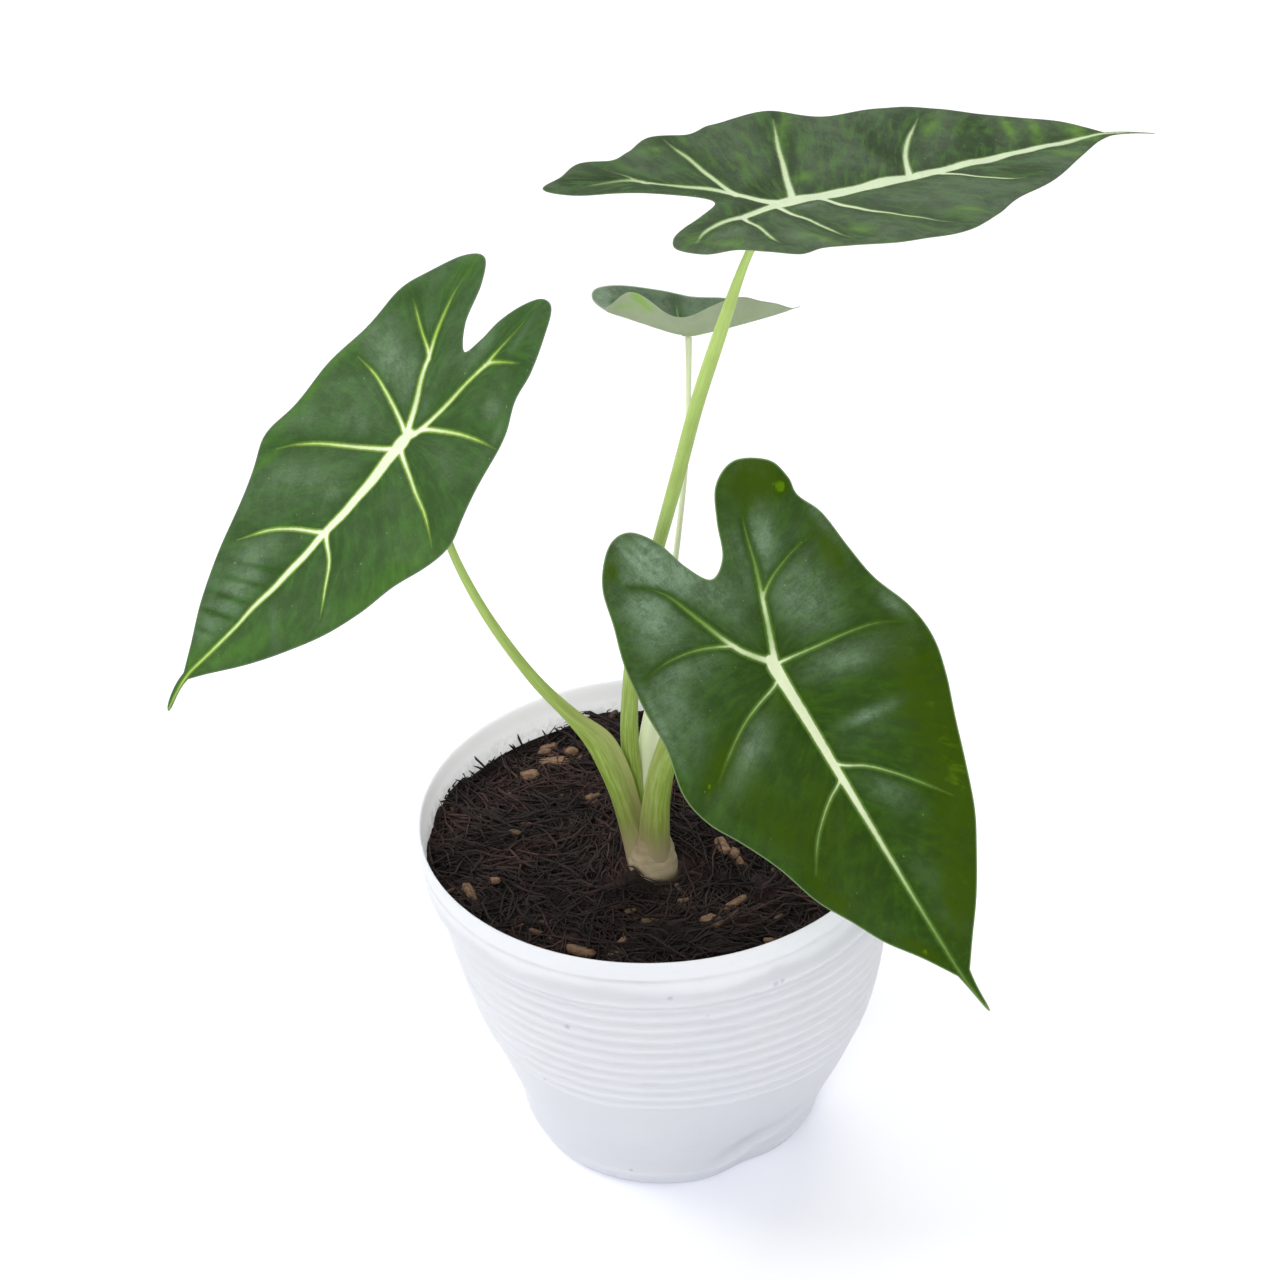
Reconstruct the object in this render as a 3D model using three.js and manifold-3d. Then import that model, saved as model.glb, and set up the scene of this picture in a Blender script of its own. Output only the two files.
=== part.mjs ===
// A young alocasia frydek standing in its plastic nursery pot.
//
// Millimetres, +Z up. The origin is the middle of the pot's underside. +X is to the right and +Y to
// the back, as the plant is looked at from its front leaf.

import * as THREE from "three";
import { mergeVertices } from "three/addons/utils/BufferGeometryUtils.js";
import Module from "manifold-3d";

const wasm = await Module();
wasm.setup();

// ---------------------------------------------------------------- driving dimensions

const CLEARANCE = 0.3; // gap between neighbouring pieces
const DEGREE = Math.PI / 180;

// Pot: a thin moulded cone with a rim band, fine turned ribs and a foot that has been squashed.
const POT_HEIGHT = 118.5;
const POT_WALL = 1.1;
const POT_FLOOR = 1.4;
const POT_SIDES = 50;
const FOOT_LINE = [[0, 42.6], [1.2, 44.1], [7, 46.7], [14, 47.7], [22, 49.8], [30, 52.7],
  [38, 55.5]]; // z, r
const CONE_LINE = [[45, 58], [52, 60.5], [60, 62.8], [67, 64.5], [75, 66.2], [85, 68.3], [95, 70.2]];
const RIM_LINE = [[98, 71], [100.5, 73.6], [104, 74.1], [109.5, 74.6], [111, 74.3], [112.5, 75],
  [117.6, 75], [POT_HEIGHT, 74.6]]; // shoulder, band, groove, lip
const POT_LINE = [...FOOT_LINE, ...CONE_LINE, ...RIM_LINE];
const RIBS = { from: 45, to: 95, pitch: 5, depth: 0.35 };
const INSIDE_LEVELS = [112, 101, 96, 75, 60, 45, 30, 14, 7];
const BULGE = { height: 8.3, azimuth: -18, spread: 42, level: 42, reach: 73, fadeFrom: 92, fadeTo: 112 };
const FLAT = { depth: 3.1, azimuth: -56, spread: 14, level: 8, reach: 16 }; // side of the foot pressed in
const DRAIN_HOLES = { count: 6, radius: 4, circle: 31 };

// Soil: coir and bark that fills the pot to a finger's breadth under the lip.
const SOIL_LEVEL = 106;
const SOIL_RINGS = [18, 27, 36, 45, 54, 62, 68];
const SOIL_SIDES = 38;
const SOIL_LITTER_REACH = 62; // fibres and chips lie within this radius
const FIBRES = { count: 56, length: [11, 24], thickness: [0.8, 1.3], tilt: 0.05 };
const CHIPS = { count: 16, foot: [2.2, 3.2], top: [1.6, 2.4], height: [2.4, 3.2], tilt: 0.3 };
const STANDING_FIBRES = [[-54, 36, 14, 60, 30], [-49, 39, 12, 45, 150], [-42, 46, 15, 50, 200],
  [-37, 50, 12, 65, 80]]; // x, y, length, degrees from level, azimuth

// Stem base: the swollen neck of the corm, half in the soil.
const STEM_CENTRE = [-1.5, -11.5];
const STEM_PROFILE = [[88, 6], [91, 7.6], [99, 8.4], [106, 8.4], [110, 7.9], [114.5, 6.8], [118, 5],
  [120, 2.6]]; // z, r
const STEM_SIDES = 20;

// Leaf stalks: [x, y, z, half width, half depth] down the middle, from the foot to under the blade.
const PETIOLES = {
  petiole_1: [[-5, -10.5, 109, 3.4, 3], [-6.6, -11, 120, 3.9, 3.2], [-8.9, -11.2, 132, 4.3, 3],
    [-11.7, -11.4, 143.4, 4.6, 2.6], [-16.3, -11.3, 155, 4.5, 2.2], [-24, -11.5, 164.8, 2.7, 2.1],
    [-34.7, -9.5, 177.3, 1.9, 1.9], [-47.4, -5.5, 197.1, 1.7, 1.7], [-56.2, -3.5, 217.6, 1.5, 1.5],
    [-60.8, -5, 238, 1.45, 1.45], [-64.6, -10.5, 256, 1.5, 1.5]],
  petiole_2: [[-4.4, -7, 114, 2.4, 2.3], [-5.4, -6.8, 126, 2.6, 2.4], [-6.4, -6.3, 139, 2.8, 2.5],
    [-6.9, -5.7, 153, 2.8, 2.5], [-6.3, -5.2, 166, 2.6, 2.4], [-4.6, -4.7, 183, 2.3, 2.3],
    [-1, -4.2, 201.5, 2.1, 2.1], [5, -4, 224, 2.05, 2.05], [10.5, -4, 244.5, 2.1, 2.1],
    [16.4, -4.2, 267.5, 2, 2], [23.5, -5.5, 291.3, 1.9, 1.9], [31.9, -8.5, 318, 1.55, 1.55],
    [36.7, -9.5, 327.6, 1.5, 1.5]],
  petiole_3: [[-0.6, -14.2, 110, 4.2, 3.6], [-0.5, -16, 123.4, 4.4, 3.8], [0.6, -17, 135.7, 4.3, 3.7],
    [2.6, -18, 147.8, 4, 3.4], [6.5, -20, 163, 3.4, 3], [13.2, -22, 180.7, 2.6, 2.4],
    [21.6, -26, 195, 2.2, 2.2], [29, -33, 202.4, 2, 2], [33.6, -42, 206, 1.9, 1.9]],
  petiole_4: [[-2.6, -7.2, 116, 1.3, 1.4], [-3.2, -6.2, 128, 1.4, 1.4], [-2.2, -4, 137.5, 2.6, 1.6],
    [-0.9, -1.5, 147.4, 3.2, 1.7], [1.4, 4, 158.6, 2.6, 1.6], [4.2, 11, 172.4, 1.5, 1.3],
    [7, 18.5, 185.9, 1.1, 1.1], [9.5, 24.5, 198, 0.95, 0.95], [13.4, 37, 221.2, 0.85, 0.85],
    [14.9, 44, 234.8, 0.85, 0.85], [15.5, 49, 246, 0.85, 0.85]],
};
const PETIOLE_SIDES = 8;
const PETIOLE_STEP = 7; // length of one ring of facets
const STALK_OVERRUN = 2; // the stalk is made this far through the blade, then cut back to it

// Leaf blades. Each blade has its own plane: u runs from the stalk's junction to the tip, v across it,
// positive on the right as one looks along the midrib from above. Heading, hang and roll turn that plane:
// heading from +X about Z, hang down below level, roll about the midrib with the right side down.
// An outline runs from the notch behind the junction, round the lobe, to where the drip tip starts.
const BLADE_THICKNESS = 0.8;
const CREASE = 6; // half width of the soft fold along the midrib
const KINK_RADIUS = 4; // rounds the change of slope at the junction
const WAVE_REACH = 38; // distance from the midrib at which the stated wave amounts hold
const LEAVES = {
  leaf_1: {
    junction: [-67.4, -15, 267.1], heading: -165, hang: 44.5, roll: -22,
    droop: -3e-4, lobeDroop: -1e-3, fold: [0.1, 0.1], lobeFold: [0.1, 0.1],
    kink: [0, 0], wave: [0.7, 0.7, 34, 1.2], length: 97, drip: [107.5, -4.5], lobes: [[-39, 19], [-42, -9]],
    right: [[-30, 4], [-36, 10], [-47, 14], [-53, 19], [-48, 25.5], [-37, 31], [-26, 35], [-10, 36],
      [5, 37], [20, 37], [32, 37], [42, 32], [55, 26.5], [67, 21], [80, 14], [90, 6.5], [97, 1.3]],
    left: [[-30, 4], [-36, 2], [-44, 1], [-52, -2], [-58, -6.5], [-58.5, -11.5], [-52, -16], [-42, -21],
      [-33, -23], [-24, -28.5], [-10, -33.5], [0, -37], [8, -39.8], [18, -39], [30, -35], [42, -32],
      [55, -28], [68, -21], [80, -13.5], [91, -5.5], [97, -1.5]],
    lobeTips: [3, 4],
  },
  leaf_2: {
    junction: [40.3, -10, 334.1], heading: 33, hang: 5.5, roll: 3,
    droop: 2e-4, lobeDroop: -6e-4, fold: [0.16, 0.16], lobeFold: [0.16, 0.16],
    kink: [0, 0], wave: [0.9, 0.9, 31, 0.4], length: 121.5, drip: [136, 4.5], lobes: [[-33, 13], [-45, -26]],
    right: [[-16.5, -7], [-25, -2], [-34, 2.5], [-41, 8], [-44.5, 15], [-41, 21], [-31, 23.5], [-25, 29],
      [-18, 34.5], [-10, 33.6], [-2, 38], [8, 42], [19, 43.5], [29, 46], [36, 44.5], [47, 37], [60, 30],
      [72, 26], [86, 19.5], [101, 10.5], [114, 3], [121.5, 0.8]],
    left: [[-16.5, -7], [-20, -11.5], [-30, -16], [-42, -19.5], [-55, -22.3], [-61, -26], [-52, -31],
      [-44, -35], [-34, -33.5], [-26, -37], [-15, -41.5], [-4, -38.6], [8, -40.5], [22, -42], [30, -39.5],
      [38, -35.2], [50, -33], [62, -32], [74, -29], [86, -22], [100, -16], [112, -11], [121.5, -1.6]],
    lobeTips: [4, 5],
  },
  leaf_3: {
    junction: [36, -50, 208], heading: -26, hang: 57.8, roll: 57.5,
    droop: 3e-4, lobeDroop: 8e-4, fold: [0.07, 0.07], lobeFold: [0.07, 0.07],
    kink: [0, 0], wave: [0.7, 0.7, 37, 2.1], length: 115, drip: [130.6, 0.4], lobes: [[-41, 19], [-43, -18]],
    right: [[-31, 3], [-38, 7.3], [-48, 10.5], [-55, 16], [-54.5, 23], [-46, 30.4], [-34, 33.8],
      [-22, 37.3], [-8, 39], [5, 39.6], [20, 42.8], [31, 41], [42, 36], [56, 30.5], [70, 26.5],
      [82, 21], [93, 16], [104, 9], [115, 3]],
    left: [[-31, 3], [-35, -3], [-45, -7], [-54, -12], [-57.6, -20], [-53, -28.3], [-42, -31],
      [-33, -33.8], [-20, -35.2], [-8, -37.3], [5, -41.8], [16, -43], [28, -40.7], [42, -36.3],
      [56, -32], [70, -27.3], [82, -21.4], [95, -14.2], [106, -7], [115, -1.2]],
    lobeTips: [3, 4],
  },
  leaf_4: {
    junction: [16, 55, 259], heading: -2, hang: 0.5, roll: -26,
    droop: 0, lobeDroop: 0, fold: [0.82, 0.9], lobeFold: [0.7, 0.77],
    kink: [0.25, 0.3], wave: [14, 3, 24, -0.8], length: 30, drip: [33.5, 0], lobes: [[-20, 8], [-21, -8]],
    right: [[-13, 1], [-18, 3], [-25, 4], [-28.5, 8], [-26, 13], [-18, 15.5], [-8, 17], [3, 17.5],
      [12, 15.5], [20, 10.5], [26, 5.5], [30, 1]],
    left: [[-13, 1], [-18, -1.5], [-25, -3], [-29.5, -7], [-28, -12], [-19, -17], [-8, -17.5],
      [3, -16.2], [12, -14.2], [20, -11], [26, -7], [30, -1]],
    lobeTips: [3, 3],
  },
};
const LOBE_RUNGS = 7; // facets along a lobe's rib
const TIP_RUNGS = 12; // facets along the midrib
const COLUMNS = 5; // facets from rib to margin
const BEND_WEIGHT = 7; // millimetres of margin that a bend of one radian counts as
const FULL_LENGTH = 90; // from this length on a blade has full ribs
const RIB_HALF_WIDTH = 2.2;
const RIB_DEPTH = 1.7; // how far the midrib stands out under the blade at the junction
const SIDE_VEIN_RUNGS = [5, 8, 11, 14, 17]; // rungs that carry a side vein
const QUILT_DEPTH = 0.9; // the blade swells between its side veins

const COLOURS = {
  pot: [0xe4e7ef, 0.55], soil: [0x2b1f1d, 0.95], stem_base: [0xa8977c, 0.7],
  petiole_1: [0x9dbb56, 0.5], petiole_2: [0x9fc257, 0.5],
  petiole_3: [0x93b24b, 0.5], petiole_4: [0xc9d894, 0.5],
  leaf_1: [0x2f5a33, 0.5], leaf_2: [0x4a6449, 0.55], leaf_3: [0x2e5c22, 0.4], leaf_4: [0x7f9a80, 0.6],
};

// ---------------------------------------------------------------- geometry helpers

// Closed geometry from a list of triangles, each of three Vector3. Collapsed triangles are dropped.
function geometryFrom(triangles) {
  const positions = [];
  for (const [a, b, c] of triangles) {
    if (a.distanceTo(b) < 1e-6 || b.distanceTo(c) < 1e-6 || c.distanceTo(a) < 1e-6) continue;
    positions.push(...a.toArray(), ...b.toArray(), ...c.toArray());
  }
  const geometry = new THREE.BufferGeometry();
  geometry.setAttribute("position", new THREE.Float32BufferAttribute(positions, 3));
  return mergeVertices(geometry, 1e-4);
}

// Closed skin over rows of points. Each row is a closed ring; the first and last row are capped.
function skin(rows) {
  const triangles = [];
  const count = rows[0].length;
  for (let i = 0; i + 1 < rows.length; i++) {
    for (let k = 0; k < count; k++) {
      const next = (k + 1) % count;
      triangles.push([rows[i][k], rows[i][next], rows[i + 1][next]]);
      triangles.push([rows[i][k], rows[i + 1][next], rows[i + 1][k]]);
    }
  }
  const capOf = (row, reversed) => {
    const middle = row.reduce((sum, p) => sum.add(p), new THREE.Vector3()).divideScalar(count);
    for (let k = 0; k < count; k++) {
      const next = (k + 1) % count;
      triangles.push(reversed ? [middle, row[next], row[k]] : [middle, row[k], row[next]]);
    }
  };
  capOf(rows[0], true);
  capOf(rows[rows.length - 1], false);
  return geometryFrom(triangles);
}

function toManifold(geometry) {
  const bare = geometry.clone();
  bare.deleteAttribute("normal");
  bare.deleteAttribute("uv");
  const merged = mergeVertices(bare, 1e-4);
  return new wasm.Manifold(new wasm.Mesh({
    numProp: 3,
    vertProperties: new Float32Array(merged.attributes.position.array),
    triVerts: new Uint32Array(merged.index.array),
  }));
}

function fromManifold(solid) {
  const mesh = solid.getMesh();
  const geometry = new THREE.BufferGeometry();
  geometry.setAttribute("position", new THREE.BufferAttribute(mesh.vertProperties, 3));
  geometry.setIndex(new THREE.BufferAttribute(mesh.triVerts, 1));
  return geometry;
}

// The largest of a solid's separate bodies: loose scraps left by a cut are dropped.
function largestBody(solid) {
  return solid.decompose().reduce((best, body) => (body.volume() > best.volume() ? body : best));
}

// Repeatable random numbers from 0 to 1.
function randomFrom(seed) {
  let state = seed;
  return () => {
    state = (state + 0x6d2b79f5) | 0;
    let t = Math.imul(state ^ (state >>> 15), 1 | state);
    t = (t + Math.imul(t ^ (t >>> 7), 61 | t)) ^ t;
    return ((t ^ (t >>> 14)) >>> 0) / 4294967296;
  };
}

function polar(radius, angle, z) {
  return new THREE.Vector3(radius * Math.cos(angle), radius * Math.sin(angle), z);
}

const bell = (distance, spread) => Math.exp(-((distance / spread) ** 2));

// ---------------------------------------------------------------- pot

// How far the squashed foot moves the wall out or in, at an azimuth in radians and a level z.
function dent(angle, z) {
  const away = (azimuth) => {
    const turn = angle / DEGREE - azimuth;
    return turn - 360 * Math.round(turn / 360);
  };
  const out = BULGE.height * bell(away(BULGE.azimuth), BULGE.spread) * bell(z - BULGE.level, BULGE.reach)
    * (1 - THREE.MathUtils.smoothstep(z, BULGE.fadeFrom, BULGE.fadeTo));
  const inward = FLAT.depth * bell(away(FLAT.azimuth), FLAT.spread) * bell(z - FLAT.level, FLAT.reach);
  return out - inward;
}

function potRing(z, radius) {
  return Array.from({ length: POT_SIDES }, (_, k) => {
    const angle = (k / POT_SIDES) * 2 * Math.PI;
    return polar(radius + dent(angle, z), angle, z);
  });
}

// Radius of the wall's outside at a level, without ribs and dents.
function wallRadius(z) {
  const above = POT_LINE.findIndex(([level]) => level >= z);
  if (above <= 0) return POT_LINE[0][1];
  const [[low, atLow], [high, atHigh]] = [POT_LINE[above - 1], POT_LINE[above]];
  return THREE.MathUtils.mapLinear(z, low, high, atLow, atHigh);
}

const insideRadius = (z) => wallRadius(z) - POT_WALL;

function makePot() {
  const ribbed = [];
  for (let z = RIBS.from; z <= RIBS.to; z += RIBS.pitch) {
    ribbed.push([z, wallRadius(z)]);
    const crest = z + RIBS.pitch / 2;
    if (crest < RIBS.to) ribbed.push([crest, wallRadius(crest) + RIBS.depth]);
  }
  const lip = [POT_HEIGHT, insideRadius(POT_HEIGHT) + 0.5];
  const inside = [...INSIDE_LEVELS, POT_FLOOR].map((z) => [z, insideRadius(z)]);
  const profile = [...FOOT_LINE, ...ribbed, ...RIM_LINE, lip, ...inside];
  let pot = toManifold(skin(profile.map(([z, radius]) => potRing(z, radius))));
  for (let k = 0; k < DRAIN_HOLES.count; k++) {
    const hole = new THREE.CylinderGeometry(DRAIN_HOLES.radius, DRAIN_HOLES.radius, 10, 12);
    hole.rotateX(Math.PI / 2);
    const centre = polar(DRAIN_HOLES.circle, (k / DRAIN_HOLES.count) * 2 * Math.PI, 0);
    hole.translate(centre.x, centre.y, centre.z);
    pot = pot.subtract(toManifold(hole));
  }
  return fromManifold(pot);
}

// ---------------------------------------------------------------- soil

const soilHeight = (x, y) => SOIL_LEVEL + 1.1 * Math.sin(0.11 * x + 0.7) * Math.cos(0.13 * y - 0.4)
  + 0.7 * Math.sin(0.27 * x - 0.19 * y) + 0.5 * Math.cos(0.33 * y + 0.21 * x + 1.3);

function soilBody() {
  const levels = [...INSIDE_LEVELS, POT_FLOOR].filter((z) => z < SOIL_LEVEL - 2).reverse();
  const wallRing = (z) => Array.from({ length: SOIL_SIDES }, (_, k) => {
    const angle = (k / SOIL_SIDES) * 2 * Math.PI;
    // facets of the wall cut across the round, so the soil stands back by their depth as well
    const radius = (insideRadius(z) + dent(angle, z) - CLEARANCE) * Math.cos(Math.PI / SOIL_SIDES) - 0.1;
    return polar(radius, angle, z === POT_FLOOR ? z + CLEARANCE : z);
  });
  const topRing = (radius) => Array.from({ length: SOIL_SIDES }, (_, k) => {
    const ringAngle = (k / SOIL_SIDES) * 2 * Math.PI;
    const point = polar(radius, ringAngle, 0);
    point.z = soilHeight(point.x, point.y);
    return point;
  });
  const edge = topRing(insideRadius(SOIL_LEVEL) * Math.cos(Math.PI / SOIL_SIDES) - 0.6);
  return skin([...levels.map(wallRing), edge, ...SOIL_RINGS.slice().reverse().map(topRing), topRing(9)]);
}

// A fibre is a thin three-sided rod, laid half into the surface or stuck in it at a slope.
function fibre(x, y, length, slope, azimuth, thickness) {
  const rod = new THREE.CylinderGeometry(thickness * 0.55, thickness, length, 3);
  rod.rotateZ(Math.PI / 2);
  if (slope > 0.5) rod.translate(-length * 0.32, 0, 0);
  rod.rotateY(slope);
  rod.rotateZ(azimuth);
  rod.translate(x, y, soilHeight(x, y) + 0.15);
  return rod;
}

function makeSoil(stemHole) {
  const random = randomFrom(41);
  const between = (low, high) => low + (high - low) * random();
  const somewhere = () => polar(Math.sqrt(between(0.06, 1)) * SOIL_LITTER_REACH, between(0, 2 * Math.PI), 0);
  let soil = toManifold(soilBody());
  for (let i = 0; i < FIBRES.count; i++) {
    const place = somewhere();
    const rod = fibre(place.x, place.y, between(...FIBRES.length), between(-FIBRES.tilt, FIBRES.tilt),
      between(0, Math.PI), between(...FIBRES.thickness));
    soil = soil.add(toManifold(rod));
  }
  for (const [x, y, length, rise, azimuth] of STANDING_FIBRES) {
    const rod = fibre(x, y, length, rise * DEGREE, azimuth * DEGREE, FIBRES.thickness[0]);
    soil = soil.add(toManifold(rod));
  }
  for (let i = 0; i < CHIPS.count; i++) {
    const place = somewhere();
    const chip = new THREE.CylinderGeometry(between(...CHIPS.top), between(...CHIPS.foot),
      between(...CHIPS.height), 5);
    chip.rotateX(Math.PI / 2 + between(-CHIPS.tilt, CHIPS.tilt));
    chip.scale(between(0.9, 1.4), between(0.7, 1), 1);
    chip.rotateZ(between(0, Math.PI));
    chip.translate(place.x, place.y, soilHeight(place.x, place.y));
    soil = soil.add(toManifold(chip));
  }
  return fromManifold(largestBody(soil.subtract(stemHole)));
}

// ---------------------------------------------------------------- stem base and leaf stalks

function stemSolid(grow) {
  const ring = (z, radius) => Array.from({ length: STEM_SIDES }, (_, k) => {
    const angle = (k / STEM_SIDES) * 2 * Math.PI;
    const lobed = radius * (1 + 0.05 * Math.cos(3 * angle + 0.6)) + grow;
    return polar(lobed, angle, z).add(new THREE.Vector3(...STEM_CENTRE, 0));
  });
  const first = STEM_PROFILE[0];
  const last = STEM_PROFILE[STEM_PROFILE.length - 1];
  const rows = STEM_PROFILE.map(([z, radius]) => ring(z, radius));
  if (grow > 0) {
    rows.unshift(ring(first[0] - grow, first[1]));
    rows.push(ring(last[0] + grow, last[1]));
  }
  return toManifold(skin(rows));
}

// Tube through the stalk's points, as wide as each point says, plus grow all round.
function stalkSolid(points, end, grow) {
  const last = points[points.length - 1];
  const centres = [...points.map(([x, y, z]) => new THREE.Vector3(x, y, z)), end];
  const sizes = [...points, last].map((point) => point.slice(-2));
  const curve = new THREE.CatmullRomCurve3(centres, false, "centripetal");
  const steps = Math.round(curve.getLength() / PETIOLE_STEP);
  const side = new THREE.Vector3(1, 0, 0);
  const rows = [];
  for (let i = 0; i <= steps; i++) {
    const t = i / steps;
    const centre = curve.getPoint(t);
    const tangent = curve.getTangent(t);
    if (grow > 0 && i === 0) centre.addScaledVector(tangent, -grow);
    if (grow > 0 && i === steps) centre.addScaledVector(tangent, grow);
    side.addScaledVector(tangent, -side.dot(tangent)).normalize();
    const front = new THREE.Vector3().crossVectors(tangent, side);
    const place = t * (sizes.length - 1);
    const before = Math.min(Math.floor(place), sizes.length - 2);
    const width = THREE.MathUtils.lerp(sizes[before][0], sizes[before + 1][0], place - before) + grow;
    const depth = THREE.MathUtils.lerp(sizes[before][1], sizes[before + 1][1], place - before) + grow;
    rows.push(Array.from({ length: PETIOLE_SIDES }, (_, k) => {
      const angle = ((k + 0.5) / PETIOLE_SIDES) * 2 * Math.PI;
      return centre.clone()
        .addScaledVector(side, width * Math.cos(angle))
        .addScaledVector(front, depth * Math.sin(angle));
    }));
  }
  return toManifold(skin(rows));
}

// ---------------------------------------------------------------- leaf blades

// The blade's own axes: m along the midrib, s to its right, n out of its upper face.
function bladeAxes({ heading, hang, roll }) {
  const [h, p, r] = [heading * DEGREE, hang * DEGREE, roll * DEGREE];
  const m = new THREE.Vector3(Math.cos(h) * Math.cos(p), Math.sin(h) * Math.cos(p), -Math.sin(p));
  const upright = new THREE.Vector3(Math.cos(h) * Math.sin(p), Math.sin(h) * Math.sin(p), Math.cos(p));
  const level = new THREE.Vector3().crossVectors(m, upright);
  const n = upright.multiplyScalar(Math.cos(r)).addScaledVector(level, Math.sin(r));
  return { m, s: new THREE.Vector3().crossVectors(m, n), n };
}

// Height of the blade's middle surface over its plane: arch and kink along the midrib, fold across
// it, wavy margin.
function bladeHeight(leaf, u, v) {
  const side = v >= 0 ? 0 : 1;
  const arch = -(u > 0 ? leaf.droop : leaf.lobeDroop) * u * u;
  const kink = leaf.kink[u > 0 ? 0 : 1] * (Math.hypot(u, KINK_RADIUS) - KINK_RADIUS);
  const forward = THREE.MathUtils.smoothstep(u, -14, 8);
  const slope = THREE.MathUtils.lerp(leaf.lobeFold[side], leaf.fold[side], forward);
  const fold = slope * (Math.hypot(v, CREASE) - CREASE);
  const [atRight, atLeft, length, phase] = leaf.wave;
  const swing = (side === 0 ? atRight : atLeft) * (v / WAVE_REACH) ** 2;
  const wave = swing * Math.sin((2 * Math.PI * u) / length + phase + 2 * side);
  return arch + kink + fold + wave;
}

// Points along a smooth curve between two of its own knots, closer together where it bends.
function spacedPoints(knots, from, to, count) {
  const curve = new THREE.SplineCurve(knots.map(([u, v]) => new THREE.Vector2(u, v)));
  const fine = 40 * (to - from);
  const trail = Array.from({ length: fine + 1 }, (_, i) => {
    const knot = from + ((to - from) * i) / fine;
    return curve.getPoint(knot / (knots.length - 1));
  });
  const headings = trail.slice(1).map((point, i) => point.clone().sub(trail[i]).angle());
  const marks = [0];
  for (let i = 1; i < trail.length; i++) {
    const turn = i > 1 ? headings[i - 1] - headings[i - 2] : 0;
    const bend = Math.abs(turn - 2 * Math.PI * Math.round(turn / (2 * Math.PI)));
    marks.push(marks[i - 1] + trail[i].distanceTo(trail[i - 1]) + BEND_WEIGHT * bend);
  }
  const total = marks[marks.length - 1];
  const points = [];
  let i = 0;
  for (let k = 0; k <= count; k++) {
    const wanted = (total * k) / count;
    while (i < fine - 1 && marks[i + 1] < wanted) i++;
    const share = (wanted - marks[i]) / (marks[i + 1] - marks[i]);
    points.push(trail[i].clone().lerp(trail[i + 1], share));
  }
  return points;
}

// One side of a blade as rungs from the notch round the lobe to the drip tip. A rung runs from a foot
// on the ribs to a point on the margin.
function rungsOfSide(leaf, knots, lobe, lobeTip) {
  const centre = new THREE.Vector2(0, 0);
  const ribEnd = new THREE.Vector2(...lobe);
  const midribEnd = new THREE.Vector2(leaf.length, 0);
  const rungs = [];
  const push = (foot, edge, rib, vein) => rungs.push({ foot, edge, rib, vein });
  spacedPoints(knots, 0, lobeTip, LOBE_RUNGS).forEach((edge, i) => {
    const share = i / LOBE_RUNGS;
    push(centre.clone().lerp(ribEnd, share), edge, 1 - 0.8 * share, 0);
  });
  const outer = spacedPoints(knots, lobeTip, knots.length - 1, LOBE_RUNGS + TIP_RUNGS);
  outer.forEach((edge, i) => {
    if (i === 0) return;
    const onLobe = i <= LOBE_RUNGS;
    const share = onLobe ? 1 - i / LOBE_RUNGS : (i - LOBE_RUNGS) / TIP_RUNGS;
    const foot = centre.clone().lerp(onLobe ? ribEnd : midribEnd, share);
    push(foot, edge, 1 - 0.8 * share, SIDE_VEIN_RUNGS.includes(i) ? 1 : 0);
  });
  const tip = new THREE.Vector2(...leaf.drip);
  push(tip, tip, 0, 0);
  return rungs;
}

function makeLeaf(leaf, grow) {
  const { m, s, n } = bladeAxes(leaf);
  const origin = new THREE.Vector3(...leaf.junction);
  const right = rungsOfSide(leaf, leaf.right, leaf.lobes[0], leaf.lobeTips[0]);
  const left = rungsOfSide(leaf, leaf.left, leaf.lobes[1], leaf.lobeTips[1]);
  // once round the blade: notch, right lobe, tip, left lobe, and back to the notch
  const loop = [...right, ...left.slice(1, -1).reverse()];
  // a small young leaf has finer ribs and no quilting
  const grownUp = Math.min(leaf.length / FULL_LENGTH, 1);
  const quilt = grownUp < 1 ? 0 : QUILT_DEPTH;

  const columnPoint = (rung, j, upper) => {
    const span = rung.foot.distanceTo(rung.edge);
    const first = Math.min((RIB_HALF_WIDTH * grownUp) / Math.max(span, 1e-9), 1 / COLUMNS);
    const share = j === 0 ? 0 : first + ((1 - first) * (j - 1)) / (COLUMNS - 1);
    const place = rung.foot.clone().lerp(rung.edge, share);
    const swell = quilt * Math.sin(Math.PI * share) * Math.min(span / 20, 1) * (rung.vein ? -0.5 : 0.5);
    const half = BLADE_THICKNESS / 2 + grow;
    const below = j === 0 ? half + RIB_DEPTH * grownUp * rung.rib : half;
    const height = bladeHeight(leaf, place.x, place.y) + swell + (upper ? half : -below);
    return origin.clone()
      .addScaledVector(m, place.x)
      .addScaledVector(s, place.y)
      .addScaledVector(n, height);
  };

  const triangles = [];
  const count = loop.length;
  const rowOf = (rung, upper) => Array.from({ length: COLUMNS + 1 }, (_, j) => columnPoint(rung, j, upper));
  const grid = (upper) => loop.map((rung) => rowOf(rung, upper));
  const top = grid(true);
  const under = grid(false);
  for (let k = 0; k < count; k++) {
    const next = (k + 1) % count;
    for (let j = 0; j < COLUMNS; j++) {
      triangles.push([top[k][j], top[k][j + 1], top[next][j + 1]],
        [top[k][j], top[next][j + 1], top[next][j]]);
      triangles.push([under[k][j], under[next][j + 1], under[k][j + 1]],
        [under[k][j], under[next][j], under[next][j + 1]]);
    }
    triangles.push([top[k][COLUMNS], under[k][COLUMNS], under[next][COLUMNS]],
      [top[k][COLUMNS], under[next][COLUMNS], top[next][COLUMNS]]);
  }
  return geometryFrom(triangles);
}

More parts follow.
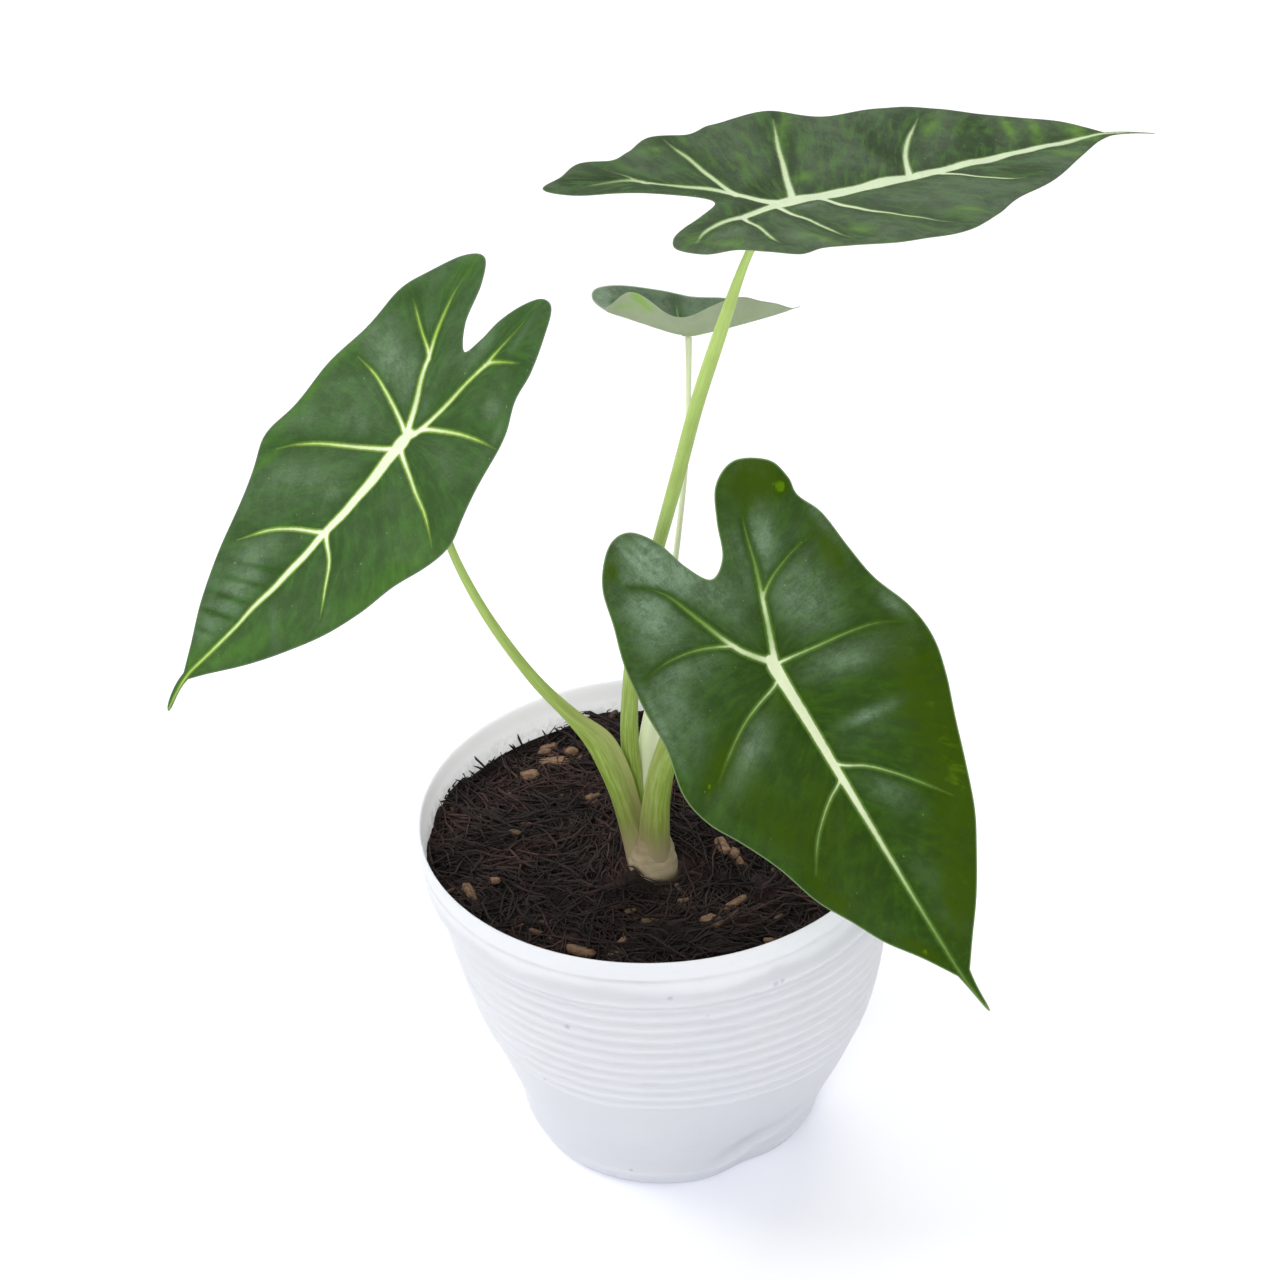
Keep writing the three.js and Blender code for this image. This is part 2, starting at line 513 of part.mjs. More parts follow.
// Where the stalk's middle line would come out of the blade: the blade then cuts the stalk to fit.
function stalkEnd(leaf) {
  return new THREE.Vector3(...leaf.junction).addScaledVector(bladeAxes(leaf).n, STALK_OVERRUN);
}

// ---------------------------------------------------------------- the plant in its pot

const group = new THREE.Group();

function addMesh(name, geometry) {
  const [colour, roughness] = COLOURS[name];
  const material = new THREE.MeshStandardMaterial({ color: colour, roughness, metalness: 0 });
  const mesh = new THREE.Mesh(geometry, material);
  mesh.name = name;
  group.add(mesh);
}

addMesh("pot", makePot());
addMesh("soil", makeSoil(stemSolid(CLEARANCE)));

// The front stalk clasps the left one, and both clasp the two behind: each later one is cut back.
const claspOrder = ["petiole_3", "petiole_1", "petiole_2", "petiole_4"];
const leafOf = (name) => LEAVES[name.replace("petiole", "leaf")];
const grown = {};
for (const name of claspOrder) {
  let stalk = stalkSolid(PETIOLES[name], stalkEnd(leafOf(name)), 0);
  for (const earlier of Object.values(grown)) stalk = stalk.subtract(earlier);
  stalk = stalk.subtract(toManifold(makeLeaf(leafOf(name), CLEARANCE)));
  addMesh(name, fromManifold(largestBody(stalk)));
  grown[name] = stalkSolid(PETIOLES[name], stalkEnd(leafOf(name)), CLEARANCE);
}

let stemBase = stemSolid(0);
for (const stalk of Object.values(grown)) stemBase = stemBase.subtract(stalk);
addMesh("stem_base", fromManifold(largestBody(stemBase)));

for (const [name, leaf] of Object.entries(LEAVES)) addMesh(name, makeLeaf(leaf, 0));

export default group;
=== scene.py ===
"""A young alocasia frydek in its white plastic nursery pot, with its stage, light and camera.

Lengths in the tables are millimetres and are turned into metres where a mesh is made. The pieces stand
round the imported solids, in the same place and at the same size.
"""

import math

import bpy
import numpy as np
from mathutils import Matrix, Vector
from mathutils.geometry import delaunay_2d_cdt


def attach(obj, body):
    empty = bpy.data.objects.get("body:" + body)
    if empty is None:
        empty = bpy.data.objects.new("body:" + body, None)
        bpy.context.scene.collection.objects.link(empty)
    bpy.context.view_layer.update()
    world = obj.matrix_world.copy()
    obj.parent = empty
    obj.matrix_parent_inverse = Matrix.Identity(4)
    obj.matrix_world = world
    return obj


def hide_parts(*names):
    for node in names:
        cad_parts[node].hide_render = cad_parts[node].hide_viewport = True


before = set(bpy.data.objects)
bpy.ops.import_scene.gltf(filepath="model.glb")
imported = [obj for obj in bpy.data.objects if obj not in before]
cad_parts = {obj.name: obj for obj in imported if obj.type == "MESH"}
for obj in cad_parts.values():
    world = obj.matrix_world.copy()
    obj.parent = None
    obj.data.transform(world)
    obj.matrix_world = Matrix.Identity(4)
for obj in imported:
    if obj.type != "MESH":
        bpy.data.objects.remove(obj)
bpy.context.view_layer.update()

bl_info = {
    "name": "Potted Alocasia Frydek",
    "version": (1, 0, 0),
    "blender": (4, 5, 0),
    "location": "View3D > Sidebar > Alocasia",
    "description": "Builds a young alocasia frydek in a plastic nursery pot, its stage and camera",
    "category": "Add Mesh",
}

BODY = "root"
MM = 0.001
TURN = 2 * math.pi

# ------------------------------------------------------------------ sizes, in millimetres

# Pot wall from the foot to under the rim band: level, radius.
WALL_LINE = [(1.2, 44.1), (7, 46.7), (14, 47.7), (22, 49.8), (30, 52.7), (38, 55.5), (45, 58), (52, 60.5),
             (60, 62.8), (67, 64.5), (75, 66.2), (85, 68.3), (95, 70.2), (98, 71)]
# Shoulder, rim band, groove and lip.
RIM_LINE = [(99.2, 72.1), (100.5, 73.4), (101.6, 73.8), (104, 74.1), (107, 74.4), (109.6, 74.65),
            (110.4, 74.5), (111, 74.3), (111.7, 74.5), (112.4, 74.9), (115, 75), (117.2, 75),
            (118, 74.9), (118.4, 74.7), (118.5, 74.4), (118.3, 74.1), (117.6, 73.9)]
# Underside and its rounded edge.
FOOT_LINE = [(0, 0), (0, 20), (0, 36), (0, 42.6), (0.2, 43.2), (0.6, 43.7)]
# The whole wall as a plain line, without its ribs and groove.
PLAIN_WALL = [(0, 43.4), *WALL_LINE, (100.5, 73.4), (104, 74.1), (109.5, 74.6), (118.5, 75)]
POT_FLOOR, FLOOR_RING = 1.4, 30
FULL_DENT = 40  # radius from which the underside follows the wall's dent in full
# Rows at the top of the lip that carry the painted dark line of the soil's shadow.
LIP_ROWS = 3
ROW_STEP, INSIDE_TOP, INSIDE_STEP = 0.6, 116, 3
RIB_FROM, RIB_TO, RIB_SHARPNESS = 45, 97, 1.6
# The squashed foot: the wall bulges at one side, is pressed flat by it and folds. Azimuths, spreads and the
# crease's length are degrees.
BULGE = {"height": 8.3, "azimuth": -18, "spread": 42, "level": 42, "reach": 73, "low_reach": 46,
         "fade": (92, 112)}
FLAT = {"depth": 3.1, "azimuth": -56, "spread": 14, "level": 8, "reach": 16}
FOOT_CREASE = {"azimuth": -54, "level": 16, "climb": 0.34, "length": 15, "depth": 1.2, "width": 3.4,
               "ridge_below": 5, "ridge_width": 3.2}
# Marks on the outside: azimuth, level, radius.
SPECKS = [(-88.2, 104.6, 0.9), (-62.5, 101.6, 1.3), (-60.8, 101.9, 1), (-115.5, 84.2, 1.1),
          (-129.6, 49.3, 0.4), (-79, 93, 0.4), (-105, 8.4, 0.6), (35, 60, 0.9), (120, 82, 1.2),
          (170, 30, 0.8)]
DRAIN_CIRCLE, DRAIN_RADIUS, DRAIN_COUNT, DRAIN_SIDES, DRAIN_DEPTH = 31, 4, 6, 24, 8

SOIL_LEVEL = 106
BED_SIDES = 200
# Gaps to the wall: of the bed, of the fibres' middles at their own level, and of all that lies loose.
BED_GAP, FIBRE_GAP, LOOSE_GAP = 0.1, 0.9, 0.8
SIDE_STEP, SIDE_STEP_LEVEL = 1.6, 90  # below this level the bed's side steps in
# Rows of points on the bed's top from the middle out, closer together at the wall, and levels down its side.
TOP_SHARES = np.linspace(0, 1, 62) ** 0.8
SIDE_LEVELS = np.array([104, 98, 80, 60, 40, 20, 6, 1.8])
# Sine waves that make the lumps of the bed: height, wave number along x and y, phase.
LUMPS = [(0.55, 0.11, 0.13, 0.3), (0.55, 0.11, -0.13, 1.1), (0.7, 0.27, -0.19, 0), (0.5, 0.21, 0.33, 2.8708),
         (0.42, 0.71, 0.35, 0.4), (0.38, -0.46, 0.83, 2.1), (0.3, 1.13, -0.62, 4.4),
         (0.26, 0.38, 1.47, 1.2), (0.2, -1.71, -0.94, 3.3), (0.16, 1.9, 1.3, 0.9)]
# Hollows in the bed, and one mound at the neck with a depth below zero: x, y, radius, depth.
HOLLOWS = [(-44, 57, 10, 6.2), (-57, 45, 8, 6.5), (-69, 18, 10, 1.6), (-70, -8, 9, 1.4), (-30, 66, 12, 1.6),
           (-1, -26, 7, 1.2), (14, -12, 6, 1.2), (-8.5, -20.5, 4.2, -2.4), (40, 40, 14, 1.5),
           (-24, -30, 9, 1.3), (20, -60, 10, 1.4)]
# The larger bark chips: x, y, length, width, height.
BARK = [(16.2, -42, 8, 5, 3.2), (24.7, -9.2, 6, 3, 2.6), (23.6, -34, 9, 2.4, 2), (-24.4, -53, 10, 5, 2.4),
        (-34, 54, 10, 5, 3.4), (-32, 45, 11, 5, 3), (-12.2, -50, 2.4, 7, 2), (-58.4, -24, 7, 3, 2),
        (-51, -17, 5, 2.8, 2), (-40, 37, 6.5, 4, 2.6), (-20, 22, 6, 3.4, 2), (34, -51, 7, 3, 2),
        (21, -5, 9, 3.6, 2.2), (27, -13, 6, 3.4, 2.2), (-27, 50, 7, 3.6, 2.6)]
# Fibres that stand up: x, y, length, degrees from level, azimuth.
STANDING = [(-52, 43, 15, 60, 172), (-51, 43, 12, 48, 182), (-53, 42, 9, 66, 160), (-41, 56, 14, 70, 150),
            (-42, 55, 12, 60, 172), (-40, 57, 9, 80, 120), (-43, 54, 9, 70, 165), (-55, 36, 9, 50, 150),
            (-49, 44, 8, 45, 150), (-37, 55, 7, 50, 100), (-57, 32, 10, 40, 170), (-46, 42, 12, 70, 260),
            (-51, 37, 9, 35, 60), (-33, 55, 9, 45, 120), (-59, 24, 8, 50, 210), (12, 58, 8, 40, 100)]
FIBRE_LENGTHS = (6, 11, 18, 28)
FIBRE_RINGS, FIBRE_SIDES = 6, 3
OVERHANG = 5  # how far out the end of a fibre may be thrown before it is pushed back to the wall
NECK_CLEAR, CRUMB_CLEAR = 9, 10  # how far fibres and crumbs keep from the neck's middle
SEED = 41

STEM_CENTRE = (-1.5, -11.5)
NECK_SIDES = 72
# Neck: level, radius.
STEM_LINE = [(88, 0), (88.2, 5), (91, 7.2), (96, 8), (101, 8.2), (105, 8), (108, 7.7), (111, 7.3),
             (114, 6.7), (117, 5.9), (120, 4.8), (122.5, 3.2), (123.8, 0)]

# Leaf stalks: x, y, z, half width, half depth from the foot to under the blade. The wing is the part of the
# length where the sheath lies, and membrane is how much of its colour shows.
STALK_RINGS, STALK_SIDES = 150, 28
STALKS = {
    "stalk_left": {
        "solid": "petiole_1", "blade": "blade_left", "wing": (0.12, 0.45), "wing_side": 1, "membrane": 0.85,
        "route": [(-5, -11, 106, 4, 3.4), (-6.7, -11.2, 120, 4.3, 3.4), (-8.9, -11.2, 132, 4.3, 3),
                  (-11.7, -11.4, 143.4, 4.6, 2.6), (-16.3, -11.3, 155, 4.5, 2.2),
                  (-24, -11.5, 164.8, 2.6, 2.1), (-34.7, -9.5, 177.3, 1.85, 1.85),
                  (-47.4, -5.5, 197.1, 1.55, 1.55), (-56.2, -3.5, 217.6, 1.3, 1.3),
                  (-60.8, -5, 238, 1.15, 1.15), (-64.6, -10.5, 256, 1.2, 1.2)]},
    "stalk_top": {
        "solid": "petiole_2", "blade": "blade_top", "wing": (0, 0), "wing_side": 1, "membrane": 0,
        "route": [(-4.4, -7, 114, 2.4, 2.3), (-5.4, -6.8, 126, 2.6, 2.4), (-6.4, -6.3, 139, 2.8, 2.5),
                  (-6.9, -5.7, 153, 2.8, 2.5), (-6.3, -5.2, 166, 2.6, 2.4), (-4.6, -4.7, 183, 2.3, 2.3),
                  (-1, -4.2, 201.5, 2.1, 2.1), (5, -4, 224, 2.05, 2.05), (10.5, -4, 244.5, 2.15, 2.15),
                  (16.4, -4.2, 267.5, 2.1, 2.1), (23.5, -5.5, 291.3, 2, 2), (31.9, -8.5, 318, 1.2, 1.2),
                  (36.7, -9.5, 327.6, 1.2, 1.2)]},
    "stalk_front": {
        "solid": "petiole_3", "blade": "blade_front", "wing": (0.1, 0.5), "wing_side": -1, "membrane": 0.35,
        "route": [(-0.4, -12.4, 104, 4.6, 4), (-0.4, -15.6, 121, 4.8, 4), (0.6, -17, 135.7, 4.3, 3.7),
                  (2.6, -18, 147.8, 4, 3.4), (6.5, -20, 163, 3.4, 3), (13.2, -22, 180.7, 2.6, 2.4),
                  (21.6, -26, 195, 2.2, 2.2), (29, -33, 202.4, 2, 2), (33.6, -42, 206, 1.9, 1.9)]},
    "stalk_back": {
        "solid": "petiole_4", "blade": "blade_back", "wing": (0.1, 0.38), "wing_side": 1, "membrane": 0.6,
        "route": [(-2.6, -7.2, 116, 1.3, 1.4), (-3.2, -6.2, 128, 1.4, 1.4), (-2.2, -4, 137.5, 2.6, 1.6),
                  (-0.9, -1.5, 147.4, 3.2, 1.7), (1.4, 4, 158.6, 2.6, 1.6), (4.2, 11, 172.4, 1.5, 1.3),
                  (7, 18.5, 185.9, 1.1, 1.1), (9.5, 24.5, 198, 0.95, 0.95),
                  (13.4, 37, 221.2, 0.85, 0.85), (14.9, 44, 234.8, 0.85, 0.85),
                  (15.5, 49, 246, 0.85, 0.85)]},
}

# What the undersides of the grown blades share.
UNDERSIDE = {"back": "8ea585", "back_vein": 0.6, "glow_through": 0.1}

# Leaf blades. u runs from the stalk's junction to the tip, v across, positive on the right seen from above
# along the midrib. Heading, hang and roll are degrees.
# Right and left: the margin from the notch round the lobe to where the drip tip starts.
# Veins: width at the start and at the end, knots. The midrib's widths are spaced evenly along it.
# Pale: how cream rather than lime a vein is, from its start to its end.
# Notch and guides: the lines that part a half into fields, from the notch to the tip, run on past the margin.
# Sheen: greyish patches of painted sheen; a share below zero paints shade. Glow: yellow-green patches of
# painted light shining through. Both: u, v, half length, half width, lean in degrees, share.
# Grey sheen: the share of painted greyish sheen away from the veins, right and left of the midrib.
# Folds: places along u with the slope of the right and left half there. Kink: slope beyond the junction and
# in the lobes. Wave: height at the right and left margin, length, phase.
BLADES = {
    "blade_left": {
        "solid": "leaf_1", "slot": "leaf_dark",
        "junction": (-67.4, -15, 267.1), "heading": -165, "hang": 44.5, "roll": -22,
        "droop": -3e-4, "lobe_droop": -1e-3, "folds": [(0, 0.1, 0.1)], "kink": (0, 0),
        "wave": (0.7, 0.7, 34, 1.2), "length": 97, "drip": (107.5, -4.5), "drip_width": 2.2,
        "right": [(-30, 4), (-36, 10), (-47, 14), (-53, 19), (-48, 25.5), (-37, 31), (-26, 35), (-10, 36),
                  (5, 37), (20, 37), (32, 37), (42, 32), (55, 26.5), (67, 21), (80, 14), (90, 6.5),
                  (97, 1.3)],
        "left": [(-30, 4), (-36, 2), (-44, 1), (-52, -2), (-58, -6.5), (-58.5, -11.5), (-52, -16),
                 (-42, -21), (-33, -23), (-24, -28.5), (-10, -33.5), (0, -37), (8, -39.8), (18, -39),
                 (30, -35), (42, -32), (55, -28), (68, -21), (80, -13.5), (91, -5.5), (97, -1.5)],
        "midrib": [(-2, 0), (0, -0.1), (10, -0.7), (21, -1.1), (37, -1.5), (65, -0.9), (82, -0.7),
                   (97, -0.5), (107, -4.2)],
        "midrib_widths": (4.6, 3.3, 2.7, 2.3, 1.9, 1.6, 1.2, 0.8, 0.7, 0.5), "pale": (1.6, -0.2),
        "side_pale": (0.75, -0.4),
        "swell": 1.0, "ripple": 0.055, "haze": (0.09, 0.03),
        "sheen": [(-11, 21, 12, 6, 95, 0.26), (8, 16, 8, 4, 50, 0.1), (18, 27, 9, 5, 40, 0.07),
                  (-12, 9, 8, 4, 130, 0.16), (-28, 18, 7, 4, 20, 0.1), (33, 18, 12, 4, 55, 0.08),
                  (27, 6, 5, 2.5, 55, 0.12), (-33, -1, 9, 2.5, -5, 0.18), (-26, -18.5, 3, 3, 0, 0.24),
                  (-22, -26, 5, 1.6, -20, 0.15), (-6, -17, 7, 3, -75, 0.09), (-46, -9.5, 9, 1.6, -10, 0.12),
                  (66, 8, 16, 6, -18, 0.22), (84, 4, 6, 3, -20, 0.12), (59.5, 8, 8, 1, 56, -0.2),
                  (65.5, 8, 8, 1, 58, -0.22), (71.5, 7, 7, 1, 60, -0.26), (77.5, 6, 6, 1, 62, -0.26),
                  (83.5, 5, 4, 0.9, 64, -0.16), (66, -14, 8, 1.8, -62, 0.11), (50, -22, 6, 3, -50, 0.08),
                  (-48, 23, 5, 3, 40, 0.07)],
        "glow": [(10, 35.5, 26, 2, 0, 0.5), (37, 30.5, 6, 1.2, 5, 0.7), (-48, 21, 9, 2.5, 5, 0.4),
                 (30, -32, 24, 5, 14, 0.4), (78, -8, 16, 4, 25, 0.4), (14, -24, 10, 4, -70, 0.25),
                 (90, 2, 8, 2.5, 0, 0.4)],
        "veins": [
            (1.7, 0.3, [(0, 0), (-10, 6.3), (-21, 13), (-33, 17.6), (-47, 21)]),
            (0.9, 0.3, [(-20, 12.4), (-21.5, 14), (-24.4, 20.5), (-28.5, 29.5)]),
            (1.5, 0.3, [(0, 0), (-5.5, -2), (-18, -3.4), (-34, -4.9), (-43, -5.9), (-52, -6.7)]),
            (0.8, 0.2, [(-32, -4.7), (-34.2, -5.8), (-37.3, -9.7), (-41.2, -15.3)]),
            (1.2, 0.3, [(0, 0), (-1.2, 2.5), (-4, 14), (-5, 23), (-4.5, 31)]),
            (1.25, 0.3, [(2.5, -0.4), (5.4, 1.2), (14, 12), (20.3, 20), (27, 27), (32.5, 31)]),
            (1.1, 0.2, [(35, -1.4), (37.2, -0.6), (44, 8.5), (50.5, 14.5), (59.5, 19.8)]),
            (1.2, 0.3, [(-3, -1.2), (-6.6, -3.6), (-13.4, -14), (-17.4, -22), (-20, -29)]),
            (1.2, 0.3, [(1.8, -0.6), (3.8, -3.4), (6.8, -15), (8.8, -25), (12.6, -35.5)]),
            (1.2, 0.2, [(35, -1.4), (37.3, -3.6), (40.3, -9.3), (45, -15.2), (52.5, -23)])],
        "notch": [(0, 0), (-15, 2.5), (-30, 4)],
        "guides": {
            "right": [[(0, 0), (-21, 13), (-46, 20.5), (-56, 21.5)],
                      [(0, 0), (-21, 13), (-28, 29), (-32, 40)], [(0, 0), (-4, 16), (-3.5, 34), (-2, 42)],
                      [(2, 0), (14, 13), (36, 33.5), (45, 38)],
                      [(35, -2), (45.5, 10), (57.3, 18.8), (68, 26)]],
            "left": [[(0, 0), (-34, -4.8), (-54.5, -6.5), (-64, -7)],
                     [(0, 0), (-34, -4.8), (-40, -13.4), (-42, -26)],
                     [(0, 0), (-14, -16), (-20, -29), (-23, -37)],
                     [(2, 0), (7.6, -24), (12.6, -35.7), (16, -44)],
                     [(35.6, -2), (41.4, -13), (52.6, -24), (62, -31)]]},
        "paint": {**UNDERSIDE, "shade": "2e4d1a", "fresh": "3f6b26", "sheen_tint": "98b196", "cream": "dde5c8",
                  "lime": "a2c64c", "edge_tint": "6a7a64", "glow": "47741c", "rough": 0.36, "streak": 0.5,
                  "halo": 0.8, "halo_share": 0.7, "shine": 0.24},
    },
    "blade_top": {
        "solid": "leaf_2", "slot": "leaf_grey",
        "junction": (40.3, -10, 334.1), "heading": 33, "hang": 5.5, "roll": 3,
        "droop": 2e-4, "lobe_droop": -6e-4, "folds": [(0, 0.16, 0.16)], "kink": (0, 0),
        "wave": (0.55, 0.9, 31, 0.4), "length": 121.5, "drip": (136, 4.5), "drip_width": 0.7,
        "right": [(-16.5, -7), (-25, -2), (-34, 2.5), (-41, 8), (-44.5, 15), (-40, 21.5), (-31, 23.3),
                  (-25, 29.5), (-19, 35), (-10, 33.2), (-3, 36.5), (7, 43.5), (19, 42.8), (30, 45.6),
                  (37, 44.2), (47, 38.4), (58, 32.2), (71, 28), (86, 20.4), (101, 11.3), (114, 3.6),
                  (121.5, 0.8)],
        "left": [(-16.5, -7), (-20, -11.5), (-30, -16), (-42, -19.5), (-55, -22.3), (-61, -26), (-52, -31),
                 (-44, -35), (-34, -32.9), (-26, -36.5), (-16, -41.8), (-5, -37.4), (5, -40.9), (14, -42.5),
                 (24, -40.4), (34, -36.4), (48, -33.6), (60, -31.5), (70, -31.2), (78, -27.5), (88, -21),
                 (100, -16.3), (112, -10.6), (121.5, -1.6)],
        "midrib": [(-2, -0.2), (0, 0), (15, 0.5), (32, 1.2), (50, 1.2), (66, 0.8), (84, 0.2), (104, -0.5),
                   (121.5, -0.8), (136, 4.4)],
        "midrib_widths": (4.0, 4.1, 4.2, 3.6, 3.0, 2.6, 1.8, 0.8, 0.4), "pale": (1.3, 0.6),
        "side_pale": (0.85, -0.3),
        "swell": 0.9, "ripple": 0.075, "haze": (0.18, 0.15),
        "sheen": [(-24, 12, 7, 2.5, -15, 0.18), (8, 5, 7, 2, 5, 0.24), (-12, 24, 8, 4, 60, 0.12),
                  (20, -24, 12, 2, -60, -0.18), (46, -18, 10, 4, -80, -0.21), (2, -9, 5, 4, 0, -0.18),
                  (78, -10, 12, 5, -50, -0.27), (78, 14, 8, 5, 20, -0.21), (-46, -28, 7, 2.2, 15, -0.2),
                  (-30, -27, 6, 3, 25, 0.12), (60, 15, 14, 6, 35, 0.09)],
        "glow": [(92, -12, 6, 1.6, -68, 0.9), (100, -9, 6, 2, -60, 0.7), (113, -6, 4, 3, -50, 0.8),
                 (98, 8, 5, 3, 30, 0.5), (3, -22, 6, 1.5, -70, 0.5), (-18, -36, 4, 2, 10, 0.5),
                 (27, -34, 8, 2, -50, 0.5), (15, -9, 5, 2, 0, 0.4), (-7, 28, 6, 2, 80, 0.5),
                 (6, 30, 5, 2, 90, 0.5), (-31, 19, 6, 4, 30, 0.4), (40, 34, 6, 3, 40, 0.5),
                 (-36, 10, 4, 2, -40, 0.5), (70, -20, 8, 1.6, -35, 0.5), (114, 0, 6, 3, 20, 0.5)],
        "veins": [
            (2.1, 0.5, [(0, -1.5), (-3, -4.6), (-8.6, -9.7), (-14, -13.4), (-20, -17.2), (-26, -20.4),
                        (-32, -23.4), (-38.6, -30)]),
            (1.1, 0.4, [(-30, -22.2), (-33, -23.2), (-40, -24.4), (-49.4, -25.1)]),
            (1.8, 0.6, [(-8, -9.2), (-8.8, -12.4), (-10.6, -25), (-12.4, -38.5)]),
            (2.4, 0.6, [(0, 0), (-11.5, 1), (-20, 3), (-27, 5.5), (-32.4, 9), (-37.5, 13.6)]),
            (1.3, 0.4, [(-12.4, 1.2), (-13.4, 3.4), (-14.4, 11), (-15.8, 18), (-17.8, 25)]),
            (2.0, 0.7, [(3.5, 0), (6.2, -2), (12.2, -13.6), (18, -25), (24, -36.3)]),
            (1.7, 0.5, [(45, 1), (47.2, -1.3), (52.6, -10), (59.4, -17.2), (68.6, -24.9)]),
            (1.4, 0.3, [(-1.5, 0), (-0.8, 1.8), (-0.2, 12), (0.4, 22), (1.4, 32)]),
            (1.9, 0.6, [(11, 1), (13.6, 2.4), (16.3, 9.5), (21.2, 20), (26.3, 28.2), (31, 38)]),
            (1.7, 0.5, [(52, 1), (55.6, 2.8), (61.5, 9.2), (67.5, 14.6), (74, 18.4)])],
        "notch": [(0, 0), (-8, -3.5), (-16.5, -7)],
        "guides": {
            "right": [[(0, 0), (-13.7, 2), (-32.8, 8), (-47, 14.5)],
                      [(0, 0), (-13.7, 2), (-17.5, 22), (-18.5, 38)],
                      [(0, 0), (0, 17), (1.2, 34), (1.8, 44)], [(10, 0), (18.7, 17), (30.3, 37), (37, 48)],
                      [(52, 0), (64, 10.5), (72.4, 17), (84, 26)]],
            "left": [[(0, 0), (-32, -22.5), (-49.4, -25.1), (-64, -26)],
                     [(0, 0), (-32, -22.5), (-40, -29.7), (-45, -37)],
                     [(0, 0), (-9.4, -9.9), (-12.4, -39), (-12.6, -44)],
                     [(3, 0), (16.8, -23.4), (23, -36.3), (26, -45)],
                     [(45, 0), (53.7, -11.6), (68.4, -24.7), (80, -32)]]},
        "paint": {**UNDERSIDE, "shade": "263b19", "fresh": "3f6126", "sheen_tint": "8a9d84", "cream": "c6d4b2",
                  "lime": "9fb87a", "edge_tint": "5f6c52", "glow": "5a812e", "rough": 0.45, "streak": 0.85,
                  "halo": 0.7, "halo_share": 0.6, "shine": 0.2},
    },
    "blade_front": {
        "solid": "leaf_3", "slot": "leaf_deep",
        "junction": (36, -50, 208), "heading": -26, "hang": 57.8, "roll": 57.5,
        "droop": 3e-4, "lobe_droop": 8e-4, "folds": [(0, 0.07, 0.07)], "kink": (0, 0),
        "wave": (0.7, 0.7, 37, 2.1), "length": 115, "drip": (130.6, 0.4), "drip_width": 1.3,
        "right": [(-31, 3), (-38, 7.3), (-48, 10.5), (-55, 16), (-54.5, 23), (-46, 30.4), (-34, 33.8),
                  (-22, 37.3), (-8, 39), (5, 39.6), (20, 42.8), (31, 41), (42, 36), (56, 30.5), (70, 26.5),
                  (82, 21), (93, 16), (104, 9), (115, 3)],
        "left": [(-31, 3), (-35, -3), (-45, -7), (-54, -12), (-57.6, -20), (-53, -28.6), (-46, -30.9),
                 (-40, -30.6), (-32, -33.9), (-20, -35.4), (-8, -37.3), (5, -41.8), (16, -43), (28, -40.7),
                 (42, -36.3), (56, -32), (70, -27.3), (82, -21.4), (95, -14.2), (106, -7), (115, -1.2)],
        "midrib": [(-1, 0.5), (0, 0.7), (20, 0.8), (39, 1), (63, 1.3), (88, 1.7), (115, 1.8), (129.5, 0.6)],
        "midrib_widths": (4.0, 2.9, 2.5, 2.2, 1.8, 1.4, 1.1, 0.9, 0.8, 0.7, 0.5), "pale": (1.6, -0.7),
        "side_pale": (0.35, -0.7),
        "swell": 1.8, "ripple": 0.06, "haze": (0.02, 0.01),
        "sheen": [(-34, 22, 13, 7, 10, 0.42), (-47, 13, 7, 0.9, -20, 0.28), (-47, 16, 7, 0.9, -18, 0.28),
                  (-48, 19, 6, 0.9, -15, 0.28), (-47, 15, 8, 6, -15, 0.2), (-36, 9, 11, 5, -22, 0.34),
                  (-12, 21, 4, 9, 0, 0.22), (-2, 31, 14, 6, 6, 0.22), (20, 21, 12, 4, 57, 0.34),
                  (-36, -16, 9, 4, 17, 0.3), (-12, -17, 10, 8, 0, 0.26), (9, -19, 12, 4, -80, 0.26),
                  (27, -17, 8, 2, -86, 0.36), (33, -14, 12, 4, -80, 0.06), (51, -9, 11, 4, -30, 0.16),
                  (2, -38, 6, 2.2, -15, 0.28), (-28, -33, 9, 1.6, -5, 0.28), (0, 37.5, 13, 1.5, 5, 0.24),
                  (82, -6, 10, 4, -15, 0.06), (97, -5, 7, 2.5, -20, 0.1), (-30, -8, 12, 5, 10, 0.14),
                  (-22, 2, 9, 4, 0, 0.12), (-25, -20, 24, 14, 0, 0.07), (-30, 16, 24, 14, 0, 0.08)],
        "glow": [(32, -33, 22, 9, 8, 1.1), (62, -25, 22, 8, 26, 1.1), (92, -11, 16, 6, 30, 1.1),
                 (-50, -22, 9, 7, 60, 1.1), (-45, -27.5, 2.2, 1.8, 0, 2.4), (-22, -31, 10, 3.4, 5, 0.9),
                 (101, 8, 7, 1.8, -25, 1.7), (72, 22, 10, 2.5, -22, 0.9), (22, 35, 1.3, 0.9, 40, 1.6),
                 (-48, 26, 4, 2, 40, 0.9), (17, 28, 10, 4, 50, 0.7), (45, 22, 24, 8, -15, 0.7),
                 (45, 9, 16, 4, 0, 0.5), (12, 6, 10, 3, 50, 0.4), (-12, 20, 6, 2, 60, 0.4)],
        "veins": [
            (1.7, 0.3, [(0, 0), (-9, -3.4), (-19, -6.8), (-28, -9.8), (-36, -11.9), (-42, -14),
                        (-46.6, -18.3)]),
            (0.8, 0.2, [(-17, -6.2), (-19.6, -7.8), (-23, -12.8), (-26, -20), (-27.8, -28)]),
            (1.7, 0.3, [(0, 0), (-6, 5), (-11.4, 8), (-23, 12.3), (-33, 15.8), (-38.5, 19.8),
                        (-41.6, 24.3)]),
            (0.8, 0.2, [(-10, 7.2), (-11.6, 9.2), (-14.2, 14.5), (-16, 20.5), (-16.8, 27), (-16, 33.5)]),
